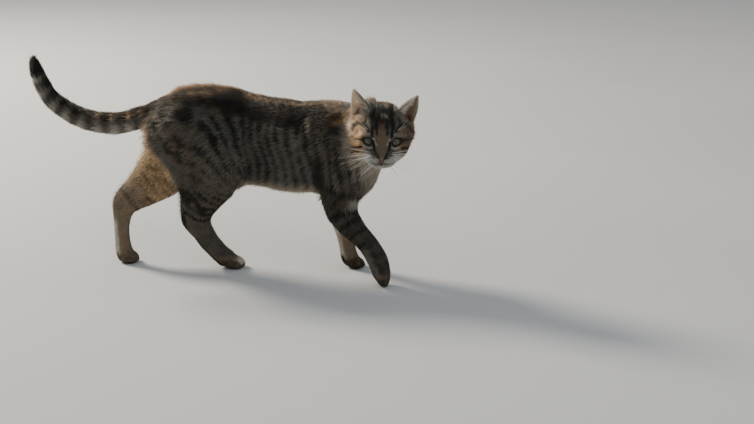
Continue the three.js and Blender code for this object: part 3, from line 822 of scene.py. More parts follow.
# strokes on a plan of the face: across from the middle and up from the eyes (mm), reach, strength
faceMarks = {
    "dark": [
        (((6.3, 40), (6.3, 26), (6.6, 9)), 1.35, 0.9),
        (((12, 54), (11.5, 34), (13.4, 20), (12.6, 6)), 1.9, 0.95),
        (((0, 48), (0.4, 40)), 3.0, 0.8),
        (((0, 32), (0, 21)), 1.3, 0.6),
        (((3.2, 19), (3.2, 8)), 0.8, 0.45),
        (((9.6, 22), (9.4, 10)), 0.9, 0.5),
        (((20, 30), (25, 19)), 2.0, 0.6),
        (((10.6, -1), (10.4, -5), (9.6, -11)), 1.9, 0.95),  # down from the eye's inner corner
        (((9.6, -11), (7.4, -17), (4.6, -22)), 2.3, 0.62),  # and on to the nose
        (((5.2, -20), (3.2, -26)), 1.6, 0.75),
        (((25, 2), (32, 2.6), (44, 5)), 1.1, 0.85),  # behind the eye
        (((18, 14), (23, 21.5), (30, 23), (36, 19.5), (41, 12)), 2.6, 0.68),
        (((33, 12), (40, 3)), 1.6, 0.5),
        (((27, -8), (34, -8), (44, -11)), 1.7, 0.78),
        (((31, -14), (38, -15), (45, -22)), 1.6, 0.65),
        (((12, -12), (17, -20)), 4.2, 0.42),  # shade over the whisker pads
        (((36, 28), (44, 24)), 2.2, 0.6),
    ],
    "pale": [
        (((10.2, 3.5), (8.6, -1.5), (6.2, -5.5)), 0.9, 0.7),  # beside the bridge
        (((12, -8.5), (18, -9.5), (25, -6.5)), 0.9, 0.62),  # under the eye
        (((14, 9), (20, 9.5), (26, 5)), 0.8, 0.25),  # over the eye
        (((29, 10), (38, 8)), 3.2, 1.0),
        (((30, -3), (40, -3)), 2.2, 0.4),
        (((20, -22), (29, -21)), 5.0, 0.8),
    ],
    "white": [
        (((6.5, -25.5), (12, -25.5)), 3.2, 0.6),  # beside the nose
        (((12, -25), (19, -22.5), (27, -20)), 3.8, 0.48),
    ],
    "flecks": [  # on one side only: across is plus on the cat's left
        (((3.5, 34), (6.5, 31.5)), 1.7, 1.0),
        (((0.5, 35), (-0.5, 32)), 1.3, 0.8),
        (((4.5, 44), (5.5, 41)), 1.6, 0.7),
        (((-13, 60), (-14, 51)), 4.0, 0.75),
        (((15.5, 39), (17, 44)), 1.1, 0.8),
        (((19, 45), (23, 54)), 2.4, 0.5),
    ],
    "mouth": [
        (((0, -29), (5, -30.3), (10, -29)), 0.7, 0.4),
    ],
}
# the right cheek is golden, partly its own colour and partly painted sunlight, and the left one is painted
# darker as shade
cheeks = {-1: {"sunlitGold": 1.0, "shade": 0.0}, 1: {"sunlitGold": 0.25, "shade": 0.36}}
facePlan = {"tip": 38, "rise": 18.6}  # it looks down this many degrees on the muzzle


def strokes(across, up, lines):
    mask = np.zeros(len(across))
    for points, reach, strength in lines:
        gap = np.full(len(across), 99.0)
        for (ax, ay), (bx, by) in zip(points[:-1], points[1:]):
            run = np.array([bx - ax, by - ay], float)
            t = np.clip(((across - ax) * run[0] + (up - ay) * run[1]) / (run @ run), 0, 1)
            gap = np.minimum(gap, np.hypot(across - ax - t * run[0], up - ay - t * run[1]))
        mask = np.maximum(mask, strength * ease(1.35 * reach, 0.55 * reach, gap))
    return mask


def noseReach(local):  # 1 on the face of the leather, more outside it
    return np.linalg.norm((local - noseShape["centre"]) / noseShape["half"], axis=1)


def headMarks(local, p):  # dark, warm and pale
    f, l, u = local.T
    far = np.abs(l)
    steep = math.radians(facePlan["tip"])
    up = u * math.cos(steep) - f * math.sin(steep) + facePlan["rise"]
    wobble = cloud(p, 9, 31)
    across = np.abs(l + 0.8 * wobble)
    up = up + 1.0 * cloud(p, 8, 32)
    fine = np.clip(0.5 + 0.9 * cloud(p, 4.5, 33) + 0.5 * cloud(p, 9, 34), 0, 1)
    drawn = strokes(across, up, faceMarks["dark"])
    dark = drawn * (0.72 + 0.28 * fine)
    pale = strokes(across, up, faceMarks["pale"])
    white = strokes(across, up, faceMarks["white"])
    left = ease(-6, 6, l)
    # painted sunlight on the right cheek and painted shade on the left, blended across the face
    sunlitGold, shade = (blend(cheeks[-1][key], cheeks[1][key], left) for key in ("sunlitGold", "shade"))
    crown = ease(12, 24, u) * ease(8, -4, f)
    lengthwise = ease(-0.3, 0.6, np.cos(2 * math.pi * l / 8.5 + 1.6 * wobble))
    fleck = ease(0.1, 0.6, cloud(p * [1, 1, 0.7], 5.5, 36))
    lines = (0.55 + 0.35 * lengthwise) * crown * ease(30, 20, far)
    dark = np.maximum(dark, lines * (1 - 0.75 * fleck))
    forehead = ease(4, 20, up) * ease(21, 13, across)
    dark = np.maximum(dark, forehead * (0.36 + 0.34 * fine))
    cheek = ease(17, 27, far) * ease(34, 14, u)
    side = ease(20, 30, far) * ease(30, 16, u)
    # painted shade over the left side of the face
    dark = np.maximum(dark, shade * side * (0.75 + 0.5 * fine))
    dark = np.maximum(dark, 0.22 * ease(16, 8, far) * ease(28, 38, f) * ease(-12, -8, u))
    # a pale rim along the outer edge of the cheeks: painted sunlight, strongest on the right cheek
    edge = ease(36.5, 40.5, far) * ease(34, 24, u) * ease(-16, -6, f)
    bridge = ease(7, 3, far) * ease(24, 34, f)
    muzzle = ease(-10.5, -13, u) * ease(38, 50, f)
    chin = ease(-13, -17, u)
    warm = 0.1 + 0.75 * cheek * (0.5 + 0.5 * sunlitGold) + 0.3 * bridge + 0.5 * crown
    warm = warm + 0.4 * forehead * fleck + 0.15 * wobble
    warm = warm + 0.3 * pale * ease(12, 9, across)
    warm = warm * (1 - 0.45 * edge * sunlitGold) + 0.25 * drawn * cheek * sunlitGold
    warm = np.clip(warm * (1 - 0.85 * np.maximum(muzzle, chin * ease(30, 44, f))), 0, 1)
    pale = np.maximum.reduce([
        pale * (0.15 + 0.85 * sunlitGold * side + 0.85 * (1 - side)),
        0.74 * muzzle,
        0.95 * chin * ease(-10, 20, f),
        (0.2 + 0.3 * sunlitGold) * cheek * fine,
        edge * (0.2 + 0.8 * sunlitGold),
        0.24 * sunlitGold * cheek,
    ])
    flecks = strokes(l + 0.8 * wobble, up, faceMarks["flecks"]) * (0.6 + 0.4 * fine)
    pale = np.maximum(pale, 0.85 * flecks)
    warm = np.maximum(warm, 0.5 * flecks)
    dark = dark * (1 - 0.6 * edge * sunlitGold) * (1 - 0.85 * flecks)
    white = np.maximum(white, 0.9 * chin * ease(34, 46, f))
    spots = muzzle * ease(0.45, 0.8, cloud(p, 3.4, 35)) * ease(-15, -11, u)
    mouth = strokes(across, up, faceMarks["mouth"])
    dark = np.maximum.reduce([dark * (1 - 0.8 * muzzle), 0.5 * spots, mouth])
    rim = np.zeros(len(local))
    for eye in (-1, 1):
        lid, width = lidGap(local, eye), lidRimWidth(local, eye)
        rim = np.maximum(rim, ease(width + 0.5, width - 0.5, lid) * (f > 25))
    lips = np.clip(0.75 * mouthShare(local) + 0.8 * philtrumShare(local), 0, 1) * (f > 30)
    besideNose = ease(1.75, 1.3, noseReach(local)) * ease(1.5, 3.5, far)
    dark = np.maximum(dark, 0.6 * besideNose * ease(-9.5, -7, u)) * (1 - 0.9 * white)
    pale = np.maximum(pale, white)
    return np.maximum.reduce([dark, rim, lips]), warm, pale * (1 - rim) * (1 - lips)


coatMarks = {
    "stripePeriod": 13.2,
    "fan": {"x": 56, "z": 112, "step": 10.5},
    "neckPeriod": 21,
    "tailPeriod": 23,
    "tailTip": 26,
}

# for each leg: the way along Y to its inner side; where along it the bars begin, are full, fade and
# end, and their spacing and width; how dark its outer side is; where its dark sole and its pale back
# edge, which is painted rim light, begin and are full, and how strong they are; how dark its foot and
# how pale the tops of its toes are, a painted highlight; and the heights between which it takes on the
# marks of the flank
legs = ("hindRight", "hindLeft", "foreRight", "foreLeft")
legRows = {
    "inward": (1, -1, 1, -1),
    "bars": ((0, 25, 166, 184), (0, 25, 160, 180), (30, 50, 184, 200), (40, 62, 150, 165)),
    "period": (12.5, 14, 17, 16),
    "wide": (0.4, 0.34, 0.25, 0.3),
    "ground": (0.26, 0.34, 0.41, 0.3),
    "sole": ((150, 175, 0.85), (236, 244, 0.8), (228, 240, 0.4), (212, 220, 0.8)),
    "rim": ((0, 1, 0), (176, 196, 1.0), (186, 204, 0.28), (118, 140, 1.0)),
    "foot": (0.42, 0.34, 0.42, 0.48),
    "toes": (1.0, 0.15, 0.15, 0.1),
    "fade": ((80, 140), (95, 150), (90, 140), (150, 205)),  # from the upper tint to the lower
    "flank": ((118, 146), (128, 160), (128, 158), (128, 158)),
}
legPlans = {leg: {key: row[k] for key, row in legRows.items()} for k, leg in enumerate(legs)}
legTint = {  # of the inner sides
    "upper": {"warm": 0.85, "pale": 0.86},
    "lower": {"warm": 0.42, "pale": 0.28, "dark": 0.2},
    "elbowHighlight": (96, 108, 128, 140),  # where along the right foreleg its front is pale: a painted highlight
    "toeHighlight": (19, 25, 42, 48),  # where the tops of the right hind toes are pale, along X: a painted highlight
}


def banded(phase, width, soft):  # 1 on the band, 0 between; phase counts bands
    gap = np.abs(2 * (phase - np.floor(phase)) - 1)
    return ease(width + soft, width - soft, 1 - gap)


def between(start, full, fading, end, x):  # rises from start to full and falls from fading to end
    return ease(start, full, x) * ease(end, fading, x)


def legMarks(p, name, bone, normals):
    plan = legPlans[name]
    along = bone["along"]
    wobble = cloud(p, 14, 41)
    phase = (along + 3.2 * wobble) / plan["period"]
    bars = banded(phase, plan["wide"] + 0.18 * cloud(p, 12, 42), 0.2)
    inner = ease(-0.15, 0.5, normals[:, 1] * plan["inward"])
    low = ease(*plan["fade"], along)
    where = between(*plan["bars"], along)
    foot = ease(24, 12, p[:, 2])
    groove, back = toeShares(p)
    mottle = cloud(p, 5, 43)
    behind = ease(-0.25, -0.75, normals[:, 0])
    dark = np.maximum.reduce([
        (0.84 - 0.4 * inner) * bars * where,
        (plan["ground"] + 0.12 * mottle) * (1 - inner) * (1 - foot),
        (legTint["lower"]["dark"] + 0.12 * wobble + 0.08 * mottle) * inner * low * (1 - foot),
        plan["foot"] * (1 + 0.3 * mottle) * foot,
        # painted shade in the grooves between the toes
        0.55 * groove,
        0.7 * foot * ease(-0.2, -0.7, normals[:, 2]),
    ])
    # painted rim light: a pale back edge, strong on the far legs
    start, full, strength = plan["rim"]
    rim = strength * ease(start, full, along) * ease(0.05, -0.45, normals[:, 0]) * (1 - foot)
    start, full, strength = plan["sole"]
    dark = np.maximum(dark * (1 - 0.8 * rim), strength * behind * ease(start, full, along))
    # painted highlight on the tops of the toes, where they face up
    top = plan["toes"] * back * ease(0.35, 0.8, normals[:, 2]) * foot
    # painted highlight on the tops of the right hind toes
    if name == "hindRight":
        lit = between(*legTint["toeHighlight"], p[:, 0]) * ease(-9, -3, p[:, 1])
        top = np.maximum(0.5 * top, lit * ease(0.0, 0.35, normals[:, 2]) * foot)
    innerWarm = blend(legTint["upper"]["warm"], legTint["lower"]["warm"], low)
    innerPale = blend(legTint["upper"]["pale"], legTint["lower"]["pale"], low)
    warm = blend(0.14 + 0.14 * cloud(p, 11, 44), innerWarm, inner) + 0.3 * foot * (1 - inner)
    warm = warm * (1 - 0.7 * rim)
    within = inner * innerPale * (0.8 + 0.35 * wobble) * (1 - foot)
    pale = np.maximum.reduce([within, 0.12 * foot, top, rim])
    # painted highlight on the front of the right foreleg
    if name == "foreRight":
        lit = between(*legTint["elbowHighlight"], along) * ease(0.3, 0.75, normals[:, 0])
        pale = np.maximum(pale, 0.6 * lit)
        dark = dark * (1 - 0.4 * lit)
    # painted rim light on the back of the far hind leg's upper part
    if name == "hindLeft":
        lit = ease(-0.1, -0.7, normals[:, 0]) * ease(165, 120, along)
        pale = np.maximum(pale, (0.9 + 0.2 * mottle) * lit)
        dark = dark * (1 - 0.8 * lit)
    return dark * (1 - 0.95 * top), warm * (1 - 0.5 * top), pale


def trunkMarks(p, normals, trunk, rough):  # also what the legs' upper ends take over from it
    wide = cloud(p, 42, 52)
    height = (p[:, 2] - trunk["centre"][:, 2]) / trunk["tall"]
    fan = coatMarks["fan"]  # stripes stand upright ahead of it and open like a fan over the haunch
    slope = 0.12 * (p[:, 2] - 195)
    upright = (p[:, 0] - fan["x"] + slope) / coatMarks["stripePeriod"]
    opened = np.degrees(np.arctan2(fan["x"] - p[:, 0] - slope, np.maximum(p[:, 2] - fan["z"], 1)))
    phase = np.where(upright > 0, upright, -opened / fan["step"])
    phase = phase + (6 * wide + 2.6 * cloud(p * [1, 1, 0.3], 12, 53)) / coatMarks["stripePeriod"]
    broken = cloud(p * [1, 1, 0.35], 11, 54) + 0.5 * cloud(p, 5, 67)
    stripe = banded(phase, 0.4 + 0.1 * height + 0.32 * broken, 0.22)
    thread = banded(phase + 0.5, 0.14 + 0.24 * cloud(p * [1, 1, 0.3], 9, 64), 0.18)
    stripe = np.maximum(stripe, 0.45 * thread)
    haunch = ease(14, -20, p[:, 0])
    stripe = stripe * (1 - 0.6 * haunch * ease(-0.1, 0.5, cloud(p, 8, 68)))
    stripe = np.maximum(stripe, 0.75 * haunch * ease(0.15, 0.6, cloud(p * [1, 1, 0.6], 7, 69)))
    stripe = stripe * (0.76 + 0.24 * rough) * ease(-1.02, -0.82, height)
    top = ease(0.38, 0.72, height)
    streaky = cloud(p * [0.5, 1, 1], 9, 55)
    saddle = top * (0.8 + 0.2 * streaky)
    # the top of the back is warmer beside a dark spine: partly rusty fur and partly painted sunlight
    ridge = ease(0.92, 0.99, normals[:, 2]) * ease(0.7, 0.9, height)
    spine = ease(0.975, 0.997, normals[:, 2]) * ease(0.8, 0.9, height)
    rust = ease(-0.2, 0.5, cloud(p * [0.5, 1, 1], 9, 56))
    grizzle = 0.16 + 0.13 * haunch + 0.1 * cloud(p * [1, 1, 0.5], 4, 65)
    # a dark band in the crease behind the foreleg: painted shade
    fold = ease(10, 2, np.abs(p[:, 0] - 161)) * ease(112, 130, p[:, 2]) * ease(215, 170, p[:, 2])
    flank = np.maximum.reduce([0.86 * stripe, 0.6 * saddle, grizzle, 0.62 * fold])
    back = saddle * (1 - 0.25 * rust) * (1 - 0.5 * ridge)
    dark = np.maximum.reduce([0.86 * stripe, back, 0.7 * spine, grizzle, 0.62 * fold])
    belly = ease(-0.55, -0.88, height)
    shoulders = ease(110, 175, p[:, 0]) * ease(-0.4, 0.5, height)
    # the top of the rump is warmer and less dark: partly rufous fur and partly painted sunlight
    rump = ease(40, 0, p[:, 0]) * ease(0.8, 0.97, normals[:, 2]) * ease(0.6, 0.85, height)
    dark = dark * (1 - 0.62 * rump * (0.5 + 0.5 * rust))
    warm = 0.04 + 0.4 * top * rust + 0.75 * ridge + 1.0 * rump + 0.4 * belly + 0.3 * shoulders
    pale = 0.95 * belly * (0.75 + 0.25 * rough)
    seat = ease(-0.5, -0.85, normals[:, 0]) * ease(130, 160, p[:, 2]) * ease(226, 208, p[:, 2])
    dark = dark * (1 - 0.85 * seat) * (1 - 0.6 * belly)
    return (dark, blend(warm, 0.75, seat), np.maximum(pale, 0.75 * seat)), flank, seat


def neckMarks(p, normals, ring, rough):
    mottle = ease(-0.45, 0.4, cloud(p, 8, 58))
    nape = ease(0.4, 0.85, normals[:, 2])
    under = ease(0.0, -0.6, normals[:, 2])
    # golden where it faces up and darker where it faces sideways or down: golden fur, with painted sunlight
    # and painted shade
    sunlitGolden = ease(0.1, 0.6, normals[:, 2]) * ease(-0.4, 0.3, cloud(p, 10, 66))
    shaded = 0.38 + 0.16 * ease(0.5, 0.0, normals[:, 2])
    dark = np.maximum.reduce([0.75 * ring * mottle, 0.6 * nape * mottle, 0.55 * mottle, shaded])
    return (
        dark * (1 - 0.6 * under) * (1 - 0.3 * sunlitGolden),
        0.16 + 0.66 * sunlitGolden + 0.1 * rough,
        0.03 + 0.55 * under + 0.04 * sunlitGolden,
    )


def chestMarks(normals, ring, rough):
    bib = ease(-0.2, 0.5, normals[:, 0])
    pale = np.clip(0.5 + 0.95 * bib * (0.85 + 0.15 * rough), 0, 1)
    return 0.6 * ring * (1 - 0.8 * bib), 0.33 - 0.12 * rough, pale


def tailMarks(p, tail, rough):
    length = tail["along"].max()
    ringPhase = (tail["along"] + 2.5 * cloud(p, 16, 59)) / coatMarks["tailPeriod"]
    toward = unit(p - tail["centre"])
    above = (toward * unit(np.cross(tail["run"], (0, -1, 0)))).sum(1)
    over = ease(0.1, 0.75, above)
    ringed = banded(ringPhase, 0.56 + 0.2 * over, 0.15)
    tip = ease(length - coatMarks["tailTip"] - 3, length - coatMarks["tailTip"] + 3, tail["along"])
    base = ease(120, 20, tail["along"])
    rings, stripe = 0.72 * ringed * (0.6 + 0.4 * over), 0.74 * over * (0.6 + 0.4 * rough)
    dark = np.maximum.reduce([rings, stripe, tip])
    return dark, 0.16 + 0.95 * over * base, 0.55 * ease(0.2, -0.6, above) * (1 - tip)


def markings(p, normals, found):
    rough = cloud(p, 6, 51)
    along = found["neck"]["along"] + 4 * cloud(p, 18, 57)
    ring = banded(along / coatMarks["neckPeriod"], 0.42, 0.18)
    out = {
        "neck": neckMarks(p, normals, ring, rough),
        "chest": chestMarks(normals, ring, rough),
        "tail": tailMarks(p, found["tail"], rough),
        "head": headMarks(found["head"]["local"], p),
    }
    out["trunk"], flank, seat = trunkMarks(p, normals, found["trunk"], rough)
    for name, plan in legPlans.items():
        dark, warm, pale = legMarks(p, name, found[name], normals)
        outside = ease(0.5, 0.0, normals[:, 1] * plan["inward"])
        upper = ease(*plan["flank"], p[:, 2]) * outside
        behind = seat if "hind" in name else 0 * seat
        dark = blend(dark, flank, upper) * (1 - 0.85 * behind)
        out[name] = (dark, blend(warm, 0.75, behind), np.maximum(pale * (1 - upper), 0.75 * behind))
    marks = [sum(found[name]["share"] * out[name][k] for name in found) for k in range(3)]
    return np.clip(np.stack(marks, 1), 0, 1)


def unwrapped(p, found):  # each point's place on the skin laid flat, 0 to 1 each way, and its bone
    flat = np.zeros((len(p), 2))
    best = np.array(list(found))[np.argmax([bone["share"] for bone in found.values()], 0)]
    for name in bones:
        bone = found[name]
        sideways = unit(np.cross(bone["run"], (0.13, 1, 0.02)))
        forward = np.cross(bone["run"], sideways)
        away = p - bone["centre"]
        turn = np.arctan2((away * forward).sum(1), (away * sideways).sum(1))
        place = np.stack([bone["along"] / bone["along"].max(), turn / (2 * math.pi) + 0.5], 1)
        flat[best == name] = place[best == name]
    local = found["head"]["local"] - headReach["middle"]
    off = np.arccos(np.clip(unit(local)[:, 0], -1, 1)) / math.pi
    turn = np.arctan2(local[:, 2], local[:, 1])
    polar = 0.5 + 0.49 * off[:, None] * np.stack([np.cos(turn), np.sin(turn)], 1)
    flat[best == "head"] = polar[best == "head"]
    return flat, best


print("coat: reading the skin")
drawing = toDrawing(places(skinObject.data))
calm = unit(averaged(vertexNormals(skinObject.data), edgeEnds(skinObject.data), 6, 0.5))
found = bonesAt(drawing)
local = found["head"]["local"]
flow = lieOfHair(calm, found)
length = hairLength(drawing, calm, found)
marks = markings(drawing, calm, found)
flat, best = unwrapped(drawing, found)


def setColour(mesh, name, values):
    layer = mesh.attributes.new(name, "FLOAT_COLOR", "POINT")
    four = np.ones((len(mesh.vertices), 4), np.float32)
    four[:, : values.shape[1]] = values
    layer.data.foreach_set("color", four.ravel())


rng = np.random.default_rng(skin["seed"])
setColour(skinObject.data, "marks", marks)
count = len(drawing)
chances = 0.35 + 0.3 * rng.random(count), rng.random(count)
setColour(skinObject.data, "strand", np.stack([np.full(count, 0.35), *chances], 1))

# ---- which points of the skin grow hair, and into which piece
fromLids = np.where(local[:, 0] > 22, np.minimum(lidGap(local, -1), lidGap(local, 1)), 60)
bare = (fromLids < 0.8) | (noseReach(local) < 1.12)
bare |= (mouthShare(local) > 0.55) | (philtrumShare(local) > 0.6)
bare |= (drawing[:, 2] < 6) & (calm[:, 2] < -0.7)
hairy = np.where(bare, 0.0, 1.0)

boneCoats = {
    "trunk": "coat_trunk_right",
    "neck": "coat_neck",
    "chest": "coat_neck",
    "tail": "coat_tail",
    "hindRight": "coat_hind_right",
    "hindLeft": "coat_hind_left",
    "foreRight": "coat_fore_right",
    "foreLeft": "coat_fore_left",
    "head": "coat_crown",
}
pieceOf = np.array([boneCoats[name] for name in best], dtype=object)
pieceOf[(best == "trunk") & (drawing[:, 1] > found["trunk"]["centre"][:, 1])] = "coat_trunk_left"
pieceOf[(best == "head") & (local[:, 0] > 17)] = "coat_face"

coat = {
    "counts": {
        "coat_face": 32500,
        "coat_crown": 19000,
        "coat_neck": 24000,
        "coat_trunk_right": 30500,
        "coat_trunk_left": 30000,
        "coat_hind_right": 22000,
        "coat_hind_left": 21000,
        "coat_fore_right": 15000,
        "coat_fore_left": 13000,
        "coat_tail": 16000,
    },
    "rings": [(0.42, 1.0)],  # how far along a lock, and how wide it is there
    "widthPerRoot": 0.25,  # mm of width for each square root of a millimetre of length
    "ridge": 0.3,  # height of a lock's back against its width
    "lift": 11,  # degrees that a lock stands off the skin
    "sway": 0.12,
    "seed": 100,
    "patch": 0.003,  # of its map, for each lock
    "sink": 0.35,
    "lowest": 0.2,  # mm over the floor
    "raised": {"crest": 16, "back": 10, "crown": 7, "belly": 14},  # degrees more there
}


def scattered(corners, p, density, count, rng):  # roots spread evenly by area times density
    a, b, c = (p[corners[:, k]] for k in range(3))
    area = np.linalg.norm(np.cross(b - a, c - a), axis=1) * density[corners].mean(1)
    heap = np.cumsum(area)
    picks = (np.arange(count) + rng.random(count)) / count * heap[-1]
    chosen = np.minimum(np.searchsorted(heap, picks), len(corners) - 1)
    s, t = rng.random(count), rng.random(count)
    s, t = np.where(s + t > 1, 1 - s, s), np.where(s + t > 1, 1 - t, t)
    return corners[chosen], np.stack([1 - s - t, s, t], 1)


def mixed(values, where, share):
    if values.ndim == 1:
        return mixed(values[:, None], where, share)[:, 0]
    return (values[where] * share[:, :, None]).sum(1)


def lockForm(rings, sides):  # triangles of one lock, and the flat patch its faces take
    faces, patch = [], []
    last = 1 + len(rings) * sides
    heights = [0] + [0.15 + 0.85 * t for t, _ in rings] + [1]
    for k in range(sides):
        n = (k + 1) % sides
        left, right, mid = k / sides, (k + 1) / sides, (k + 0.5) / sides
        faces.append((0, 1 + n, 1 + k))
        patch.append(((mid, heights[0]), (right, heights[1]), (left, heights[1])))
        for r in range(len(rings) - 1):
            low, high = 1 + r * sides, 1 + (r + 1) * sides
            lowAt, highAt = heights[r + 1], heights[r + 2]
            faces.append((low + k, low + n, high + n))
            patch.append(((left, lowAt), (right, lowAt), (right, highAt)))
            faces.append((low + k, high + n, high + k))
            patch.append(((left, lowAt), (right, highAt), (left, highAt)))
        top = 1 + (len(rings) - 1) * sides
        faces.append((top + k, top + n, last))
        patch.append(((left, heights[-2]), (right, heights[-2]), (mid, 1)))
    return np.array(faces), np.array(patch) - 0.5


# one closed lock for each root, pointed at both ends and widest at its rings
def locksMesh(name, rng, aims, colours, flatPlace, rings, sides=3):
    roots, upward, flow, length, width, lift, sway = aims
    count = len(roots)
    sway = sway * rng.standard_normal(count)
    strand = np.stack([rng.random(count), rng.random(count)], 1)
    sideways = np.cross(upward, flow)
    rise, run = np.sin(lift)[:, None], np.cos(lift)[:, None]
    length = length[:, None]

    def along(t):
        height = rise * (t + 0.45 * (t - t * t)) * length
        bent = sideways * (sway[:, None] * length * t * t)
        return roots + flow * run * length * t + upward * height + bent

    spots = [along(0.0) - upward * coat["sink"]]
    heights = [0.0]
    for t, share in rings:
        middle = along(t)
        over = width[:, None] * share
        lean = upward * run - flow * rise
        for k in range(sides):
            turn = math.pi * 2 * k / sides if sides > 3 else (0, math.pi / 2, math.pi)[k]
            edge = middle + sideways * over * 0.5 * math.cos(turn)
            spots.append(edge + lean * over * coat["ridge"] * math.sin(turn))
            heights.append(t)
    spots.append(along(1.0))
    heights.append(1.0)
    spots = np.stack(spots, 1)
    spots[..., 2] = np.maximum(spots[..., 2], coat["lowest"])
    each = spots.shape[1]
    faces, patch = lockForm(rings, sides)
    index = (faces[None] + (np.arange(count) * each)[:, None, None]).reshape(-1)
    mesh = bpy.data.meshes.new(name)
    mesh.vertices.add(count * each)
    mesh.vertices.foreach_set("co", toFrame(spots.reshape(-1, 3)).astype(np.float32).ravel())
    mesh.loops.add(len(index))
    mesh.loops.foreach_set("vertex_index", index.astype(np.int32))
    mesh.polygons.add(len(index) // 3)
    mesh.polygons.foreach_set("loop_start", np.arange(0, len(index), 3, dtype=np.int32))
    mesh.update(calc_edges=True)
    flatMap = mesh.uv_layers.new(name="OFBake")
    centre = 0.01 + 0.98 * flatPlace
    corners = centre[:, None, None, :] + patch[None] * coat["patch"]
    flatMap.data.foreach_set("uv", corners.astype(np.float32).ravel())
    setColour(mesh, "marks", np.repeat(colours, each, 0))
    shade = np.empty((count, each, 3))
    shade[:, :, 0] = heights
    shade[:, :, 1:] = strand[:, None, :]
    setColour(mesh, "strand", shade.reshape(-1, 3))
    return settled(newObject(name, mesh))


coatObjects = []


def rooted(where, share, rng):  # each root's place, way up, way along, length, marks and map place
    roots = mixed(drawing, where, share)
    up = unit(mixed(calm, where, share))
    lie = unit(laid(mixed(flow, where, share), up))
    long = mixed(length, where, share)
    turn = 0.25 * cloud(roots, 17, 61) + 0.16 * cloud(roots, 5, 62)
    turn = (turn + 0.11 * rng.standard_normal(len(roots))) * np.clip(long / 8, 0.45, 1)
    lie = lie * np.cos(turn)[:, None] + np.cross(up, lie) * np.sin(turn)[:, None]
    down = np.array([0, 0, -1.0])
    sag = (0.02 * long * ease(0.2, -0.6, up[:, 2]))[:, None]
    lie = unit(lie + sag * (down - up * (up @ down)[:, None]))
    place = mixed(flat, where, share)
    seam = np.ptp(flat[where][:, :, 1], axis=1) > 0.4
    place = np.where(seam[:, None], flat[where[:, 0]], place)
    return roots, up, lie, long, mixed(marks, where, share), place


# ---- where longer wisps break the outline
# each zone: how many, how much longer than the coat there, and how many degrees they stand off it
wisps = {
    "count": 8500,
    "rings": [(0.28, 1.0), (0.64, 0.72)],
    "width": 0.22,
    "lift": 12,
    "sway": 0.14,
    "seed": 301,
    "zones": {
        "crest": {"density": 6.5, "longer": 1.5, "lift": 42},
        "back": {"density": 1.2, "longer": 1.2, "lift": 24},
        "ruffle": {"density": 26.0, "longer": 2.0, "lift": 62},
        "belly": {"density": 10.0, "longer": 2.8, "lift": 70},
        "haunch": {"density": 5.0, "longer": 1.5, "lift": 34},
        "elbow": {"density": 1.6, "longer": 1.2, "lift": 20},
        "cheek": {"density": 3.0, "longer": 1.15, "lift": 24},
        "crown": {"density": 5.0, "longer": 1.3, "lift": 36},
        "tuft": {"density": 26.0, "longer": 2.4, "lift": 60},
        "throat": {"density": 1.4, "longer": 1.2, "lift": 20},
        "rest": {"density": 0.35, "longer": 1.2, "lift": 14},
    },
}


def wispZones():
    share = {name: bone["share"] for name, bone in found.items()}
    x, z = drawing[:, 0], drawing[:, 2]
    legs = share["hindRight"] + share["hindLeft"]
    arms = share["foreRight"] + share["foreLeft"]
    forward, up = local[:, 0], local[:, 2]
    across, toRight = np.abs(local[:, 1]), -local[:, 1]
    crown = share["head"] * ease(24, 32, up) * ease(22, 10, forward)
    clumps = ease(6, 3, np.abs(x + 27)) + ease(6, 3, np.abs(x))
    return {
        "crest": share["trunk"] * ease(0.6, 0.92, calm[:, 2]) * ease(-60, -40, x) * ease(56, 16, x),
        "back": (share["trunk"] + share["neck"]) * ease(0.5, 0.85, calm[:, 2]) * ease(16, 50, x),
        "ruffle": share["trunk"] * ease(0.8, 0.95, calm[:, 2]) * clumps,
        "belly": share["trunk"] * ease(-0.15, -0.6, calm[:, 2]) * ease(0, 24, x),
        "haunch": legs * ease(-0.35, -0.8, calm[:, 0]) * ease(66, 100, z),
        "elbow": arms * ease(-0.35, -0.8, calm[:, 0]) * ease(90, 120, z),
        "cheek": share["head"] * ease(27, 36, across) * ease(20, 5, up),
        "crown": crown * ease(36, 30, across),
        "tuft": crown * ease(5, 10, toRight) * ease(30, 24, toRight),
        "throat": share["head"] * ease(-18, -28, up) + share["chest"],
        "rest": share["trunk"] + share["neck"] + 2.2 * share["tail"],
    }


zones = wispZones()
raised = sum(amount * zones[name] for name, amount in coat["raised"].items())

for number, (name, count) in enumerate(coat["counts"].items()):
    rng = np.random.default_rng(coat["seed"] + number)
    own = skinCorners[pieceOf[skinCorners[:, 0]] == name]
    density = hairy / np.maximum(length, 1.5) ** 1.25
    where, share = scattered(own, drawing, density, count, rng)
    roots, up, lie, long, colours, place = rooted(where, share, rng)
    made = long * (0.72 + 0.5 * rng.random(count))
    lift = coat["lift"] + 4 * rng.standard_normal(count) + 5 * cloud(roots, 9, 63)
    lift = np.radians(np.maximum(lift + mixed(raised, where, share), 3))
    wide = coat["widthPerRoot"] * np.sqrt(made) * (0.8 + 0.4 * rng.random(count))
    aims = (roots, up, lie, made, wide, lift, coat["sway"])
    coatObjects.append(locksMesh(name, rng, aims, colours, place, coat["rings"]))
    print("coat:", name, len(coatObjects[-1].data.polygons), "triangles")

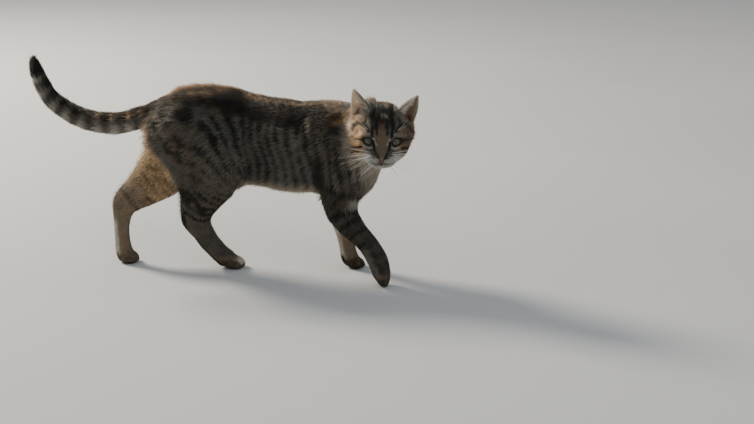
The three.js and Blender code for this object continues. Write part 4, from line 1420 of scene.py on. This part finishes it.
# ---- the wisps: a few longer locks over the whole coat, and many where the outline is ragged
density = sum(wisps["zones"][name]["density"] * amount for name, amount in zones.items())
rng = np.random.default_rng(wisps["seed"])
where, share = scattered(skinCorners, drawing, density * hairy, wisps["count"], rng)
roots, up, lie, long, colours, place = rooted(where, share, rng)
count = len(roots)
longer, lift = np.ones(count), np.full(count, float(wisps["lift"]))
for name, amount in zones.items():
    zone = wisps["zones"][name]
    here = np.clip(mixed(amount, where, share), 0, 1)
    longer = blend(longer, zone["longer"], here)
    lift = blend(lift, zone["lift"], here)
tinted = ease(14, 30, lift)
crowned = mixed(zones["crown"] + zones["tuft"], where, share).clip(0, 1)
colours[:, 1] = np.clip(colours[:, 1] + 0.2 * tinted * (1 - crowned), 0, 1)
colours[:, 2] = np.maximum(colours[:, 2], 0.3 * crowned)
colours[:, 0] *= 1 - 0.35 * tinted
fringed = mixed(zones["belly"], where, share).clip(0, 1)
colours[:, 2] *= 1 - 0.85 * fringed * rng.random(count)
colours[:, 0] = np.maximum(colours[:, 0], 0.4 * fringed * rng.random(count))
cells = {name: number for number, name in enumerate(found)}  # a ninth of the map for each bone
cell = np.array([cells[name] for name in best[where[:, 0]]])
place = np.stack([(cell % 3 + place[:, 0]) / 3, (cell // 3 + place[:, 1]) / 3], 1)
made = long * longer * (0.75 + 0.45 * rng.random(count))
wide = wisps["width"] * np.sqrt(made) * (1 + fringed)
lift = np.radians(lift * (0.45 + 0.75 * rng.random(count)))
aims = (roots, up, lie, made, wide, lift, wisps["sway"])
coatObjects.append(locksMesh("coat_wisps", rng, aims, colours, place, wisps["rings"]))
print("coat: wisps,", len(coatObjects[-1].data.polygons), "triangles")

# ---- hair of the ears: short on the backs, long from the inner margins across the cup
earHair = {
    "count": 3600,
    "back": 3.6,
    "margin": 4.5,
    "furnishing": 12,
    "sunlitRims": {"right": (0.4, 1.0), "left": (1.0, 0.45)},  # how pale the inner and outer rims are: pale hair, with painted sunlight on the rims that face the light
    # the left ear's cup is painted darker as shade
    "shade": {"right": 0.0, "left": 0.5},
    "width": 0.2,
    "lift": 13,
    "sway": 0.15,
    "rings": [(0.4, 1.0)],
    "seeds": (211, 212, 220),  # for the roots of each ear and for the locks
}


def earPlan(ear, local):  # across 0 to 1 from the inner margin, rise 0 to 1 up to the tip
    inner, outer, tip = earPoints(ear)
    middle, run, over = (inner + outer) / 2, tip - (inner + outer) / 2, outer - inner
    square = np.array([[run @ run, run @ over], [run @ over, over @ over]])
    both = np.stack([(local - middle) @ run, (local - middle) @ over], 1) @ np.linalg.inv(square)
    rise = both[:, 0]
    up = np.clip(rise, 0, 1)
    width = (1 - up) + earShape["bulge"] * np.sin(math.pi * up) + earShape["tipWidth"]
    return np.clip(both[:, 1] / np.maximum(width, 0.08) + 0.5, 0, 1), rise


def earMarks(which, across, rise, inside):
    outside = 0.55 + 0.3 * ease(0.5, 0.95, rise)
    # inside the cup: painted shade, more in the left ear
    dark = np.where(inside > 0.5, 0.06 + earHair["shade"][which], outside)
    # pale rims: pale hair, brightened with painted sunlight on the side that faces the light
    innerRim, outerRim = earHair["sunlitRims"][which]
    rim = np.maximum(innerRim * ease(0.2, 0.08, across), outerRim * ease(0.8, 0.92, across))
    warm = (0.42 + 0.35 * ease(0.5, 0, rise)) * (1 - 0.6 * rim)
    pale = np.where(inside > 0.5, 0.75 + 0.25 * rim, 0.1 + 0.85 * rim)
    return np.stack([dark * (1 - 0.9 * rim), warm, pale], 1)


earLocks = []
for number, (which, ear) in enumerate(ears.items()):
    shell = earShells[which]
    spot = toDrawing(places(shell.data))
    facingUp = vertexNormals(shell.data)
    across, rise = earPlan(ear, toHead(places(shell.data)))
    facing = earPlaces(ear, np.array([0.5]), np.array([0.5]))[1] @ headAxes
    inside = ease(-0.15, 0.15, facingUp @ facing)
    setColour(shell.data, "marks", earMarks(which, across, rise, inside))
    setColour(shell.data, "strand", np.stack([inside, across, rise], 1))
    inner, outer, tip = (point @ headAxes for point in earPoints(ear))
    upward = unit(tip - (inner + outer) / 2)
    sideways = unit(outer - inner)
    atMargin = np.maximum(ease(0.2, 0.05, across), ease(0.84, 0.96, across))
    density = np.where(inside > 0.5, 0.05 + 0.95 * atMargin, 0.9) * (rise > -0.08)
    rng = np.random.default_rng(earHair["seeds"][number])
    where, share = scattered(trianglesOf(shell.data), spot, density, earHair["count"], rng)
    up = unit(mixed(facingUp, where, share))
    cupped, acrossHere, riseHere = (mixed(v, where, share) for v in (inside, across, rise))
    cupped = cupped > 0.5
    crossing = np.where(cupped, ease(0.35, 0.1, acrossHere) * ease(0.95, 0.5, riseHere), 0)[:, None]
    lie = upward + crossing * 1.2 * sideways
    lie = lie - np.where(acrossHere > 0.8, 0.15, 0)[:, None] * sideways
    lie = unit(laid(lie, up) + 0.12 * rng.standard_normal((len(up), 3)))
    within = blend(earHair["margin"], earHair["furnishing"], crossing[:, 0])
    long = np.where(cupped, within, earHair["back"])
    long = long * (0.7 + 0.6 * rng.random(len(long))) * blend(1.25, 0.75, np.clip(riseHere, 0, 1))
    # a quarter of the map for the inside and the outside of each
    column = acrossHere * 0.22 + 0.02 + 0.25 * cupped + 0.5 * number
    place = np.stack([column, np.clip(riseHere, -0.1, 1) * 0.8 + 0.12], 1)
    hereMarks = earMarks(which, acrossHere, riseHere, cupped.astype(float))
    earLocks.append((mixed(spot, where, share), up, lie, long, hereMarks, place))

roots, up, lie, long, colours, place = (np.concatenate(parts) for parts in zip(*earLocks))
rng = np.random.default_rng(earHair["seeds"][2])
lift = np.radians(earHair["lift"] + 5 * rng.standard_normal(len(roots)))
aims = (roots, up, lie, long, earHair["width"] * np.sqrt(long), lift, earHair["sway"])
earCoat = locksMesh("coat_ears", rng, aims, colours, place, earHair["rings"])
coatObjects.append(earCoat)
print("coat: ears,", len(earCoat.data.polygons), "triangles")

# ---- whiskers, set in rows on the pads, and a few over each eye
whiskerRows = {
    "pad": [  # forward, across, up of the root; lean forward, out, up; length
        ((55, 8.5, -8.2), (0.10, 1, -0.12), 34),
        ((51, 9.5, -8.0), (-0.10, 1, -0.05), 40),
        ((47, 10.5, -8.0), (-0.30, 1, 0.06), 42),
        ((56, 8.5, -10.4), (0.20, 1, -0.4), 36),
        ((52, 9.5, -10.4), (0.0, 1, -0.36), 46),
        ((48, 10.5, -10.4), (-0.2, 1, -0.28), 48),
        ((44, 11.5, -10.4), (-0.4, 1, -0.2), 42),
        ((55, 8.5, -12.6), (0.2, 1, -0.8), 30),
        ((51, 9.5, -12.6), (0.02, 1, -0.72), 40),
        ((47, 10.5, -12.6), (-0.15, 1, -0.62), 42),
        ((49, 9.5, -14.6), (0.05, 1, -1.3), 26),
        ((45, 10.5, -14.6), (-0.15, 1, -1.1), 30),
    ],
    "brow": [
        ((31, 16, 18.0), (0.15, 0.7, 1.2), 34),
        ((30, 19, 18.0), (0.1, 1.0, 1.1), 30),
    ],
    "width": {"pad": 0.85, "brow": 0.4},
    "droop": 0.18,
    "sway": 0.08,
    "seed": 77,
    "rings": list(zip((0.02, 0.14, 0.28, 0.42, 0.56, 0.7, 0.85), (1.0, 0.95, 0.86, 0.76, 0.62, 0.48, 0.3))),
}
rng = np.random.default_rng(whiskerRows["seed"])
grown = []
for side in (-1, 1):
    for row in ("pad", "brow"):
        for root, lean, long in whiskerRows[row]:
            wanted = np.array(root) * [1, side, 1] + 0.35 * rng.standard_normal(3)
            nearest = np.argmin(np.linalg.norm(local - wanted, axis=1))
            lean = unit(np.array(lean) * [1, side, 1] + 0.07 * rng.standard_normal(3)) @ headAxes
            long = long * (0.88 + 0.2 * rng.random())
            grown.append((drawing[nearest], lean, long, whiskerRows["width"][row]))
roots, leans, longs, widths = (np.array(values) for values in zip(*grown))
count = len(roots)
sky = unit(np.array([0, 0, 1.0]) - leans * leans[:, [2]])
droop = np.full(count, -math.atan(whiskerRows["droop"])) * 0.6
place = np.stack([(np.arange(count) + 0.5) / count, np.full(count, 0.5)], 1)
aims = (roots, sky, leans, longs, widths, droop, whiskerRows["sway"])
white = np.tile([0.0, 0.0, 1.0], (count, 1))
whiskers = locksMesh("whiskers", rng, aims, white, place, whiskerRows["rings"], sides=5)
print("whiskers:", count)

# ---- shader tools: a socket that does sums, and one method for every other node
class Wire:
    def __init__(self, paint, socket):
        self.paint, self.socket = paint, socket

    def sum(self, operation, *others, settings=None):
        settings = {"operation": operation, **(settings or {})}
        return self.paint.node("ShaderNodeMath", settings, dict(enumerate(others)))

    def __add__(self, other):
        return self.sum("ADD", self, other)

    __radd__ = __add__

    def __sub__(self, other):
        return self.sum("SUBTRACT", self, other)

    def __rsub__(self, other):
        return self.sum("SUBTRACT", other, self)

    def __mul__(self, other):
        return self.sum("MULTIPLY", self, other)

    __rmul__ = __mul__

    def __truediv__(self, other):
        return self.sum("DIVIDE", self, other)

    def __pow__(self, other):
        return self.sum("POWER", self, other)

    def clipped(self):
        return self.sum("ADD", self, 0, settings={"use_clamp": True})


class Paint:
    def __init__(self, name):
        self.material = bpy.data.materials.new(name)
        self.material.use_nodes = True
        self.tree = self.material.node_tree
        self.tree.nodes.clear()
        shader = self.node("ShaderNodeBsdfPrincipled")
        self.surface = shader.socket.node
        self.made("ShaderNodeOutputMaterial", None, {"Surface": shader})

    def put(self, node, key, value):
        socket = node.inputs[key]
        if isinstance(value, Wire):
            self.tree.links.new(value.socket, socket)
        else:
            socket.default_value = value

    def made(self, kind, settings=None, values=None):
        node = self.tree.nodes.new(kind)
        for key, value in (settings or {}).items():
            setattr(node, key, value)
        for key, value in (values or {}).items():
            self.put(node, key, value)
        return node

    def node(self, kind, settings=None, values=None, output=0):
        return Wire(self, self.made(kind, settings, values).outputs[output])

    def mix(self, first, second, share):
        first, second = (c if isinstance(c, Wire) else (*c, 1) for c in (first, second))
        return self.node("ShaderNodeMix", {"data_type": "RGBA"}, {0: share, 6: first, 7: second}, 2)

    def vector(self, operation, first, second, output=0):
        values = {0: first, 1: tuple(second)}
        return self.node("ShaderNodeVectorMath", {"operation": operation}, values, output)

    def scaled(self, colour, by):
        return self.node("ShaderNodeVectorMath", {"operation": "SCALE"}, {0: colour, "Scale": by})

    def ease(self, value, low, high):
        settings = {"interpolation_type": "SMOOTHSTEP"}
        values = {0: value, 1: low, 2: high, 3: 0.0, 4: 1.0}
        return self.node("ShaderNodeMapRange", settings, values)

    def noise(self, scale, detail=2.0, place=None):
        values = {"Vector": place or self.object(), "Scale": scale, "Detail": detail}
        return self.node("ShaderNodeTexNoise", None, values)

    def object(self):
        return self.node("ShaderNodeTexCoord", None, None, "Object")

    def channels(self, attribute):
        colour = self.node("ShaderNodeAttribute", {"attribute_name": attribute}, None, "Color")
        first = self.node("ShaderNodeSeparateColor", None, {"Color": colour}, "Red")
        return [Wire(self, first.socket.node.outputs[name]) for name in ("Red", "Green", "Blue")]

    def bump(self, height, strength, distance):
        values = {"Height": height, "Strength": strength, "Distance": distance}
        return self.node("ShaderNodeBump", None, values)

    def finish(self, **sockets):
        for key, value in sockets.items():
            self.put(self.surface, key.replace("_", " "), value)
        return self.material


coatPaint = {
    "cool": (0.118, 0.126, 0.115),
    "warmGround": (0.136, 0.126, 0.098),
    "warm": (0.31, 0.158, 0.056),
    "white": (0.62, 0.60, 0.54),
    "cream": (0.62, 0.45, 0.26),
    "dark": (0.010, 0.009, 0.0075),
    "roughness": 0.68,
    "gloss": 0.22,
    "through": 0.07,  # share of light that comes through a lock
    "depth": 0.003,
    "spread": (1.0, 0.8, 0.6),
}


def lightThrough(values):
    sockets = ("Subsurface_Weight", "Subsurface_Scale", "Subsurface_Radius")
    return dict(zip(sockets, (values["through"], values["depth"], values["spread"])))


def coatFinish(name, isSkin):
    paint = Paint(name)
    dark, warm, pale = paint.channels("marks")
    along, chance, tone = paint.channels("strand")
    ground = paint.mix(coatPaint["cool"], coatPaint["warmGround"], tone)
    colour = paint.mix(ground, coatPaint["warm"], (warm * (0.65 + 0.6 * tone)).clipped())
    light = paint.mix(coatPaint["white"], coatPaint["cream"], (warm * 1.5).clipped())
    colour = paint.mix(colour, light, (pale * (0.75 + 0.35 * chance)).clipped())
    ticked = paint.ease(along, 0.35, 0.75) * (1 - dark)
    # each lock darker towards its root: grey underfur, with painted shade down among the hairs
    value = (0.5 + 0.5 * paint.ease(along, 0.0, 0.4)) * (0.68 + 0.6 * chance) * (1 + 0.45 * ticked)
    colour = paint.scaled(colour, value)
    edge = (dark * 1.15 + 0.35 * (chance - 0.5)).clipped()
    colour = paint.mix(colour, coatPaint["dark"], paint.ease(edge, 0.15, 0.75) * 0.95)
    if isSkin:
        sockets = {"Normal": paint.bump(paint.noise(900.0, 3.0), 0.6, 0.0006)}
    else:
        sockets = lightThrough(coatPaint)
    sockets["Specular_IOR_Level"] = coatPaint["gloss"]
    return paint.finish(Base_Color=colour, Roughness=coatPaint["roughness"], **sockets)


skinObject.data.materials.append(coatFinish("short_fur", True))
lockMaterial = coatFinish("fur_locks", False)
for obj in coatObjects:
    obj.data.materials.append(lockMaterial)


# ---- eyes: pale green iris with fibres, oval pupil, dark outer ring, wet gloss
eyePaint = {
    "iris": 6.9,  # mm out from the line of sight
    "ring": 0.9,
    "pupil": (1.5, 3.5),
    "inner": (0.088, 0.080, 0.042),
    "outer": (0.054, 0.058, 0.034),
    "edge": (0.012, 0.012, 0.009),
    "white": (0.10, 0.07, 0.05),
}


def eyeFinish(name, side):
    paint = Paint(name)
    away = paint.vector("SUBTRACT", paint.object(), fromHead(eyeCentre(side)))
    axes = (sightBasis(side) @ headAxes)[:2]
    x, y = (paint.vector("DOT_PRODUCT", away, axis, "Value") / mm for axis in axes)
    out = (x * x + y * y) ** 0.5
    spokes = {0: x / (out + 0.2), 1: y / (out + 0.2), 2: out * 0.05}
    fibres = paint.noise(9.0, 3.0, paint.node("ShaderNodeCombineXYZ", None, spokes))
    ragged = paint.ease(out + (fibres - 0.5) * 4, 2.5, 6.2)
    iris = paint.mix(eyePaint["inner"], eyePaint["outer"], ragged)
    iris = paint.scaled(iris, 0.7 + 0.6 * fibres)
    reach = eyePaint["iris"]
    iris = paint.mix(iris, eyePaint["edge"], paint.ease(out, reach - eyePaint["ring"], reach))
    colour = paint.mix(iris, eyePaint["white"], paint.ease(out, reach, reach + 0.5))
    wide, tall = eyePaint["pupil"]
    oval = ((x / wide) ** 2 + (y / tall) ** 2) ** 0.5
    colour = paint.mix(eyePaint["edge"], colour, paint.ease(oval, 0.92, 1.1))
    wet = {"Roughness": 0.18, "Coat_Weight": 0.7, "Coat_Roughness": 0.03, "IOR": 1.38}
    return paint.finish(Base_Color=colour, **wet)


for side, obj in eyeBalls.items():
    obj.data.materials.append(eyeFinish("wet_eye_right" if side < 0 else "wet_eye_left", side))

# ---- nose leather, lid margins, ears and whiskers
nosePaint = {
    "brick": (0.115, 0.058, 0.042),
    "deep": (0.065, 0.034, 0.026),
    "dark": (0.016, 0.009, 0.008),
}


def noseFinish():
    paint = Paint("nose_skin")
    dark = paint.channels("marks")[0]
    patch = paint.noise(260.0, 3.0)
    pebbles = paint.node("ShaderNodeTexVoronoi", None, {"Vector": paint.object(), "Scale": 1900.0})
    colour = paint.mix(nosePaint["brick"], nosePaint["deep"], paint.ease(patch, 0.3, 0.7))
    # painted shade in the nostrils and the middle groove
    colour = paint.mix(colour, nosePaint["dark"], dark)
    bump = paint.bump(pebbles, 0.35, 0.0003)
    return paint.finish(Base_Color=colour, Roughness=0.42 - 0.12 * patch, Normal=bump)


marginPaint = {"deep": (0.010, 0.008, 0.007), "pale": (0.026, 0.019, 0.016)}


def marginFinish():
    paint = Paint("lid_margin_skin")
    patch = paint.noise(700.0, 2.0)
    colour = paint.mix(marginPaint["deep"], marginPaint["pale"], patch)
    bump = paint.bump(patch, 0.3, 0.0002)
    return paint.finish(Base_Color=colour, Roughness=0.3 + 0.15 * patch, Normal=bump)


earPaint = {
    "pink": (0.92, 0.66, 0.52),
    "grey": (0.66, 0.50, 0.38),
    "shade": (0.17, 0.10, 0.07),
    "olive": (0.20, 0.17, 0.12),
    # pale hair of the rims, brightened as painted sunlight
    "rim": (1.0, 0.90, 0.72),
    "through": 0.7,  # share of light that comes through the thin cup
    "depth": 0.008,
    "spread": (1.0, 0.62, 0.42),
}


def earFinish():
    paint = Paint("ear_skin")
    inside, across, rise = paint.channels("strand")
    dark, warm, pale = paint.channels("marks")
    patch = paint.noise(170.0, 4.0)
    cup = paint.mix(earPaint["pink"], earPaint["grey"], paint.ease(patch, 0.35, 0.7))
    # the left ear's cup painted olive-dark as shade through the marks, and both cups painted darker as
    # shade towards the root
    deep = paint.ease(rise, 0.42, 0.0)
    cup = paint.mix(cup, earPaint["olive"], (dark * 1.8).clipped())
    cup = paint.mix(cup, earPaint["shade"], deep * 0.8)
    back = paint.mix(coatPaint["cool"], coatPaint["warm"], warm * 0.6)
    back = paint.mix(back, coatPaint["dark"], dark * 0.8)
    colour = paint.mix(back, cup, inside)
    # the pale rims, brightened with painted sunlight
    colour = paint.mix(colour, earPaint["rim"], paint.ease(pale, 0.8, 0.94) * 0.85)
    bump = paint.bump(paint.noise(800.0, 3.0), 0.4, 0.0003)
    sockets = {"Roughness": 0.5 + 0.15 * patch, "Normal": bump, **lightThrough(earPaint)}
    return paint.finish(Base_Color=colour, **sockets)


whiskerPaint = {"root": (0.86, 0.83, 0.76), "tip": (0.97, 0.96, 0.93)}


def whiskerFinish():
    paint = Paint("whisker")
    along = paint.channels("strand")[0]
    colour = paint.mix(whiskerPaint["root"], whiskerPaint["tip"], along)
    return paint.finish(Base_Color=colour, Roughness=0.35 + 0.1 * along)


setColour(noseLeather.data, "marks", np.repeat(noseHollowShade[:, None], 3, 1))
noseLeather.data.materials.append(noseFinish())
for obj in lidMargins:
    obj.data.materials.append(marginFinish())
for obj in earShells.values():
    obj.data.materials.append(earFinish())
whiskers.data.materials.append(whiskerFinish())
print("finishes: coat, eyes, nose, ears, whiskers")

# ---- camera, floor and studio light
view = {"azimuth": 8, "elevation": 13.8, "lens": 75.44, "place": (537.9, -2181.9, 634.0)}
lens = bpy.data.cameras.new("camera")
lens.lens = view["lens"]
lens.sensor_width = 36
lens.clip_end = 30
camera = newObject("camera", lens)
camera.location = toFrame(view["place"])
camera.rotation_euler = (math.radians(90 - view["elevation"]), 0, math.radians(view["azimuth"]))
bpy.context.scene.camera = camera

floorHalf = 9  # metres that the floor runs each way
floorPaint = {"pale": (0.66, 0.66, 0.645), "deep": (0.62, 0.62, 0.61), "roughness": 0.75}


def floorFinish():
    paint = Paint("matt_floor")
    broad = paint.noise(1.3, 3.0)
    grain = paint.noise(160.0, 4.0)
    patch = paint.ease(broad * 0.6 + grain * 0.4, 0.35, 0.65)
    colour = paint.mix(floorPaint["deep"], floorPaint["pale"], patch)
    bump = paint.bump(grain, 0.1, 0.001)
    roughness = floorPaint["roughness"] + 0.1 * grain
    return paint.finish(Base_Color=colour, Roughness=roughness, Normal=bump)


floor = newObject("floor", gridMesh("floor", 1, 1, floorHalf))
floor.data.materials.append(floorFinish())

studio = {
    "lamps": {  # place, size across, power and colour
        "key": ((-2.6, 1.6, 2.1), 1.0, 200, (1, 0.92, 0.8)),
        "fill": ((1.2, -2.6, 2.4), 2.6, 30, (0.84, 0.93, 1)),
    },
    "aim": (0, 0, 0.15),
    "sky": (0.9, 0.93, 1, 1),
    "skyPower": 0.4,
}
for name, (place, size, power, colour) in studio["lamps"].items():
    lamp = bpy.data.lights.new(name, "AREA")
    lamp.shape = "DISK"
    lamp.size = size
    lamp.energy = power
    lamp.color = colour
    obj = newObject(name, lamp)
    obj.location = place
    obj.rotation_euler = (Vector(studio["aim"]) - Vector(place)).to_track_quat("-Z", "Y").to_euler()

world = bpy.data.worlds.new("studio")
world.use_nodes = True
background = world.node_tree.nodes["Background"].inputs
background["Color"].default_value = studio["sky"]
background["Strength"].default_value = studio["skyPower"]
bpy.context.scene.world = world
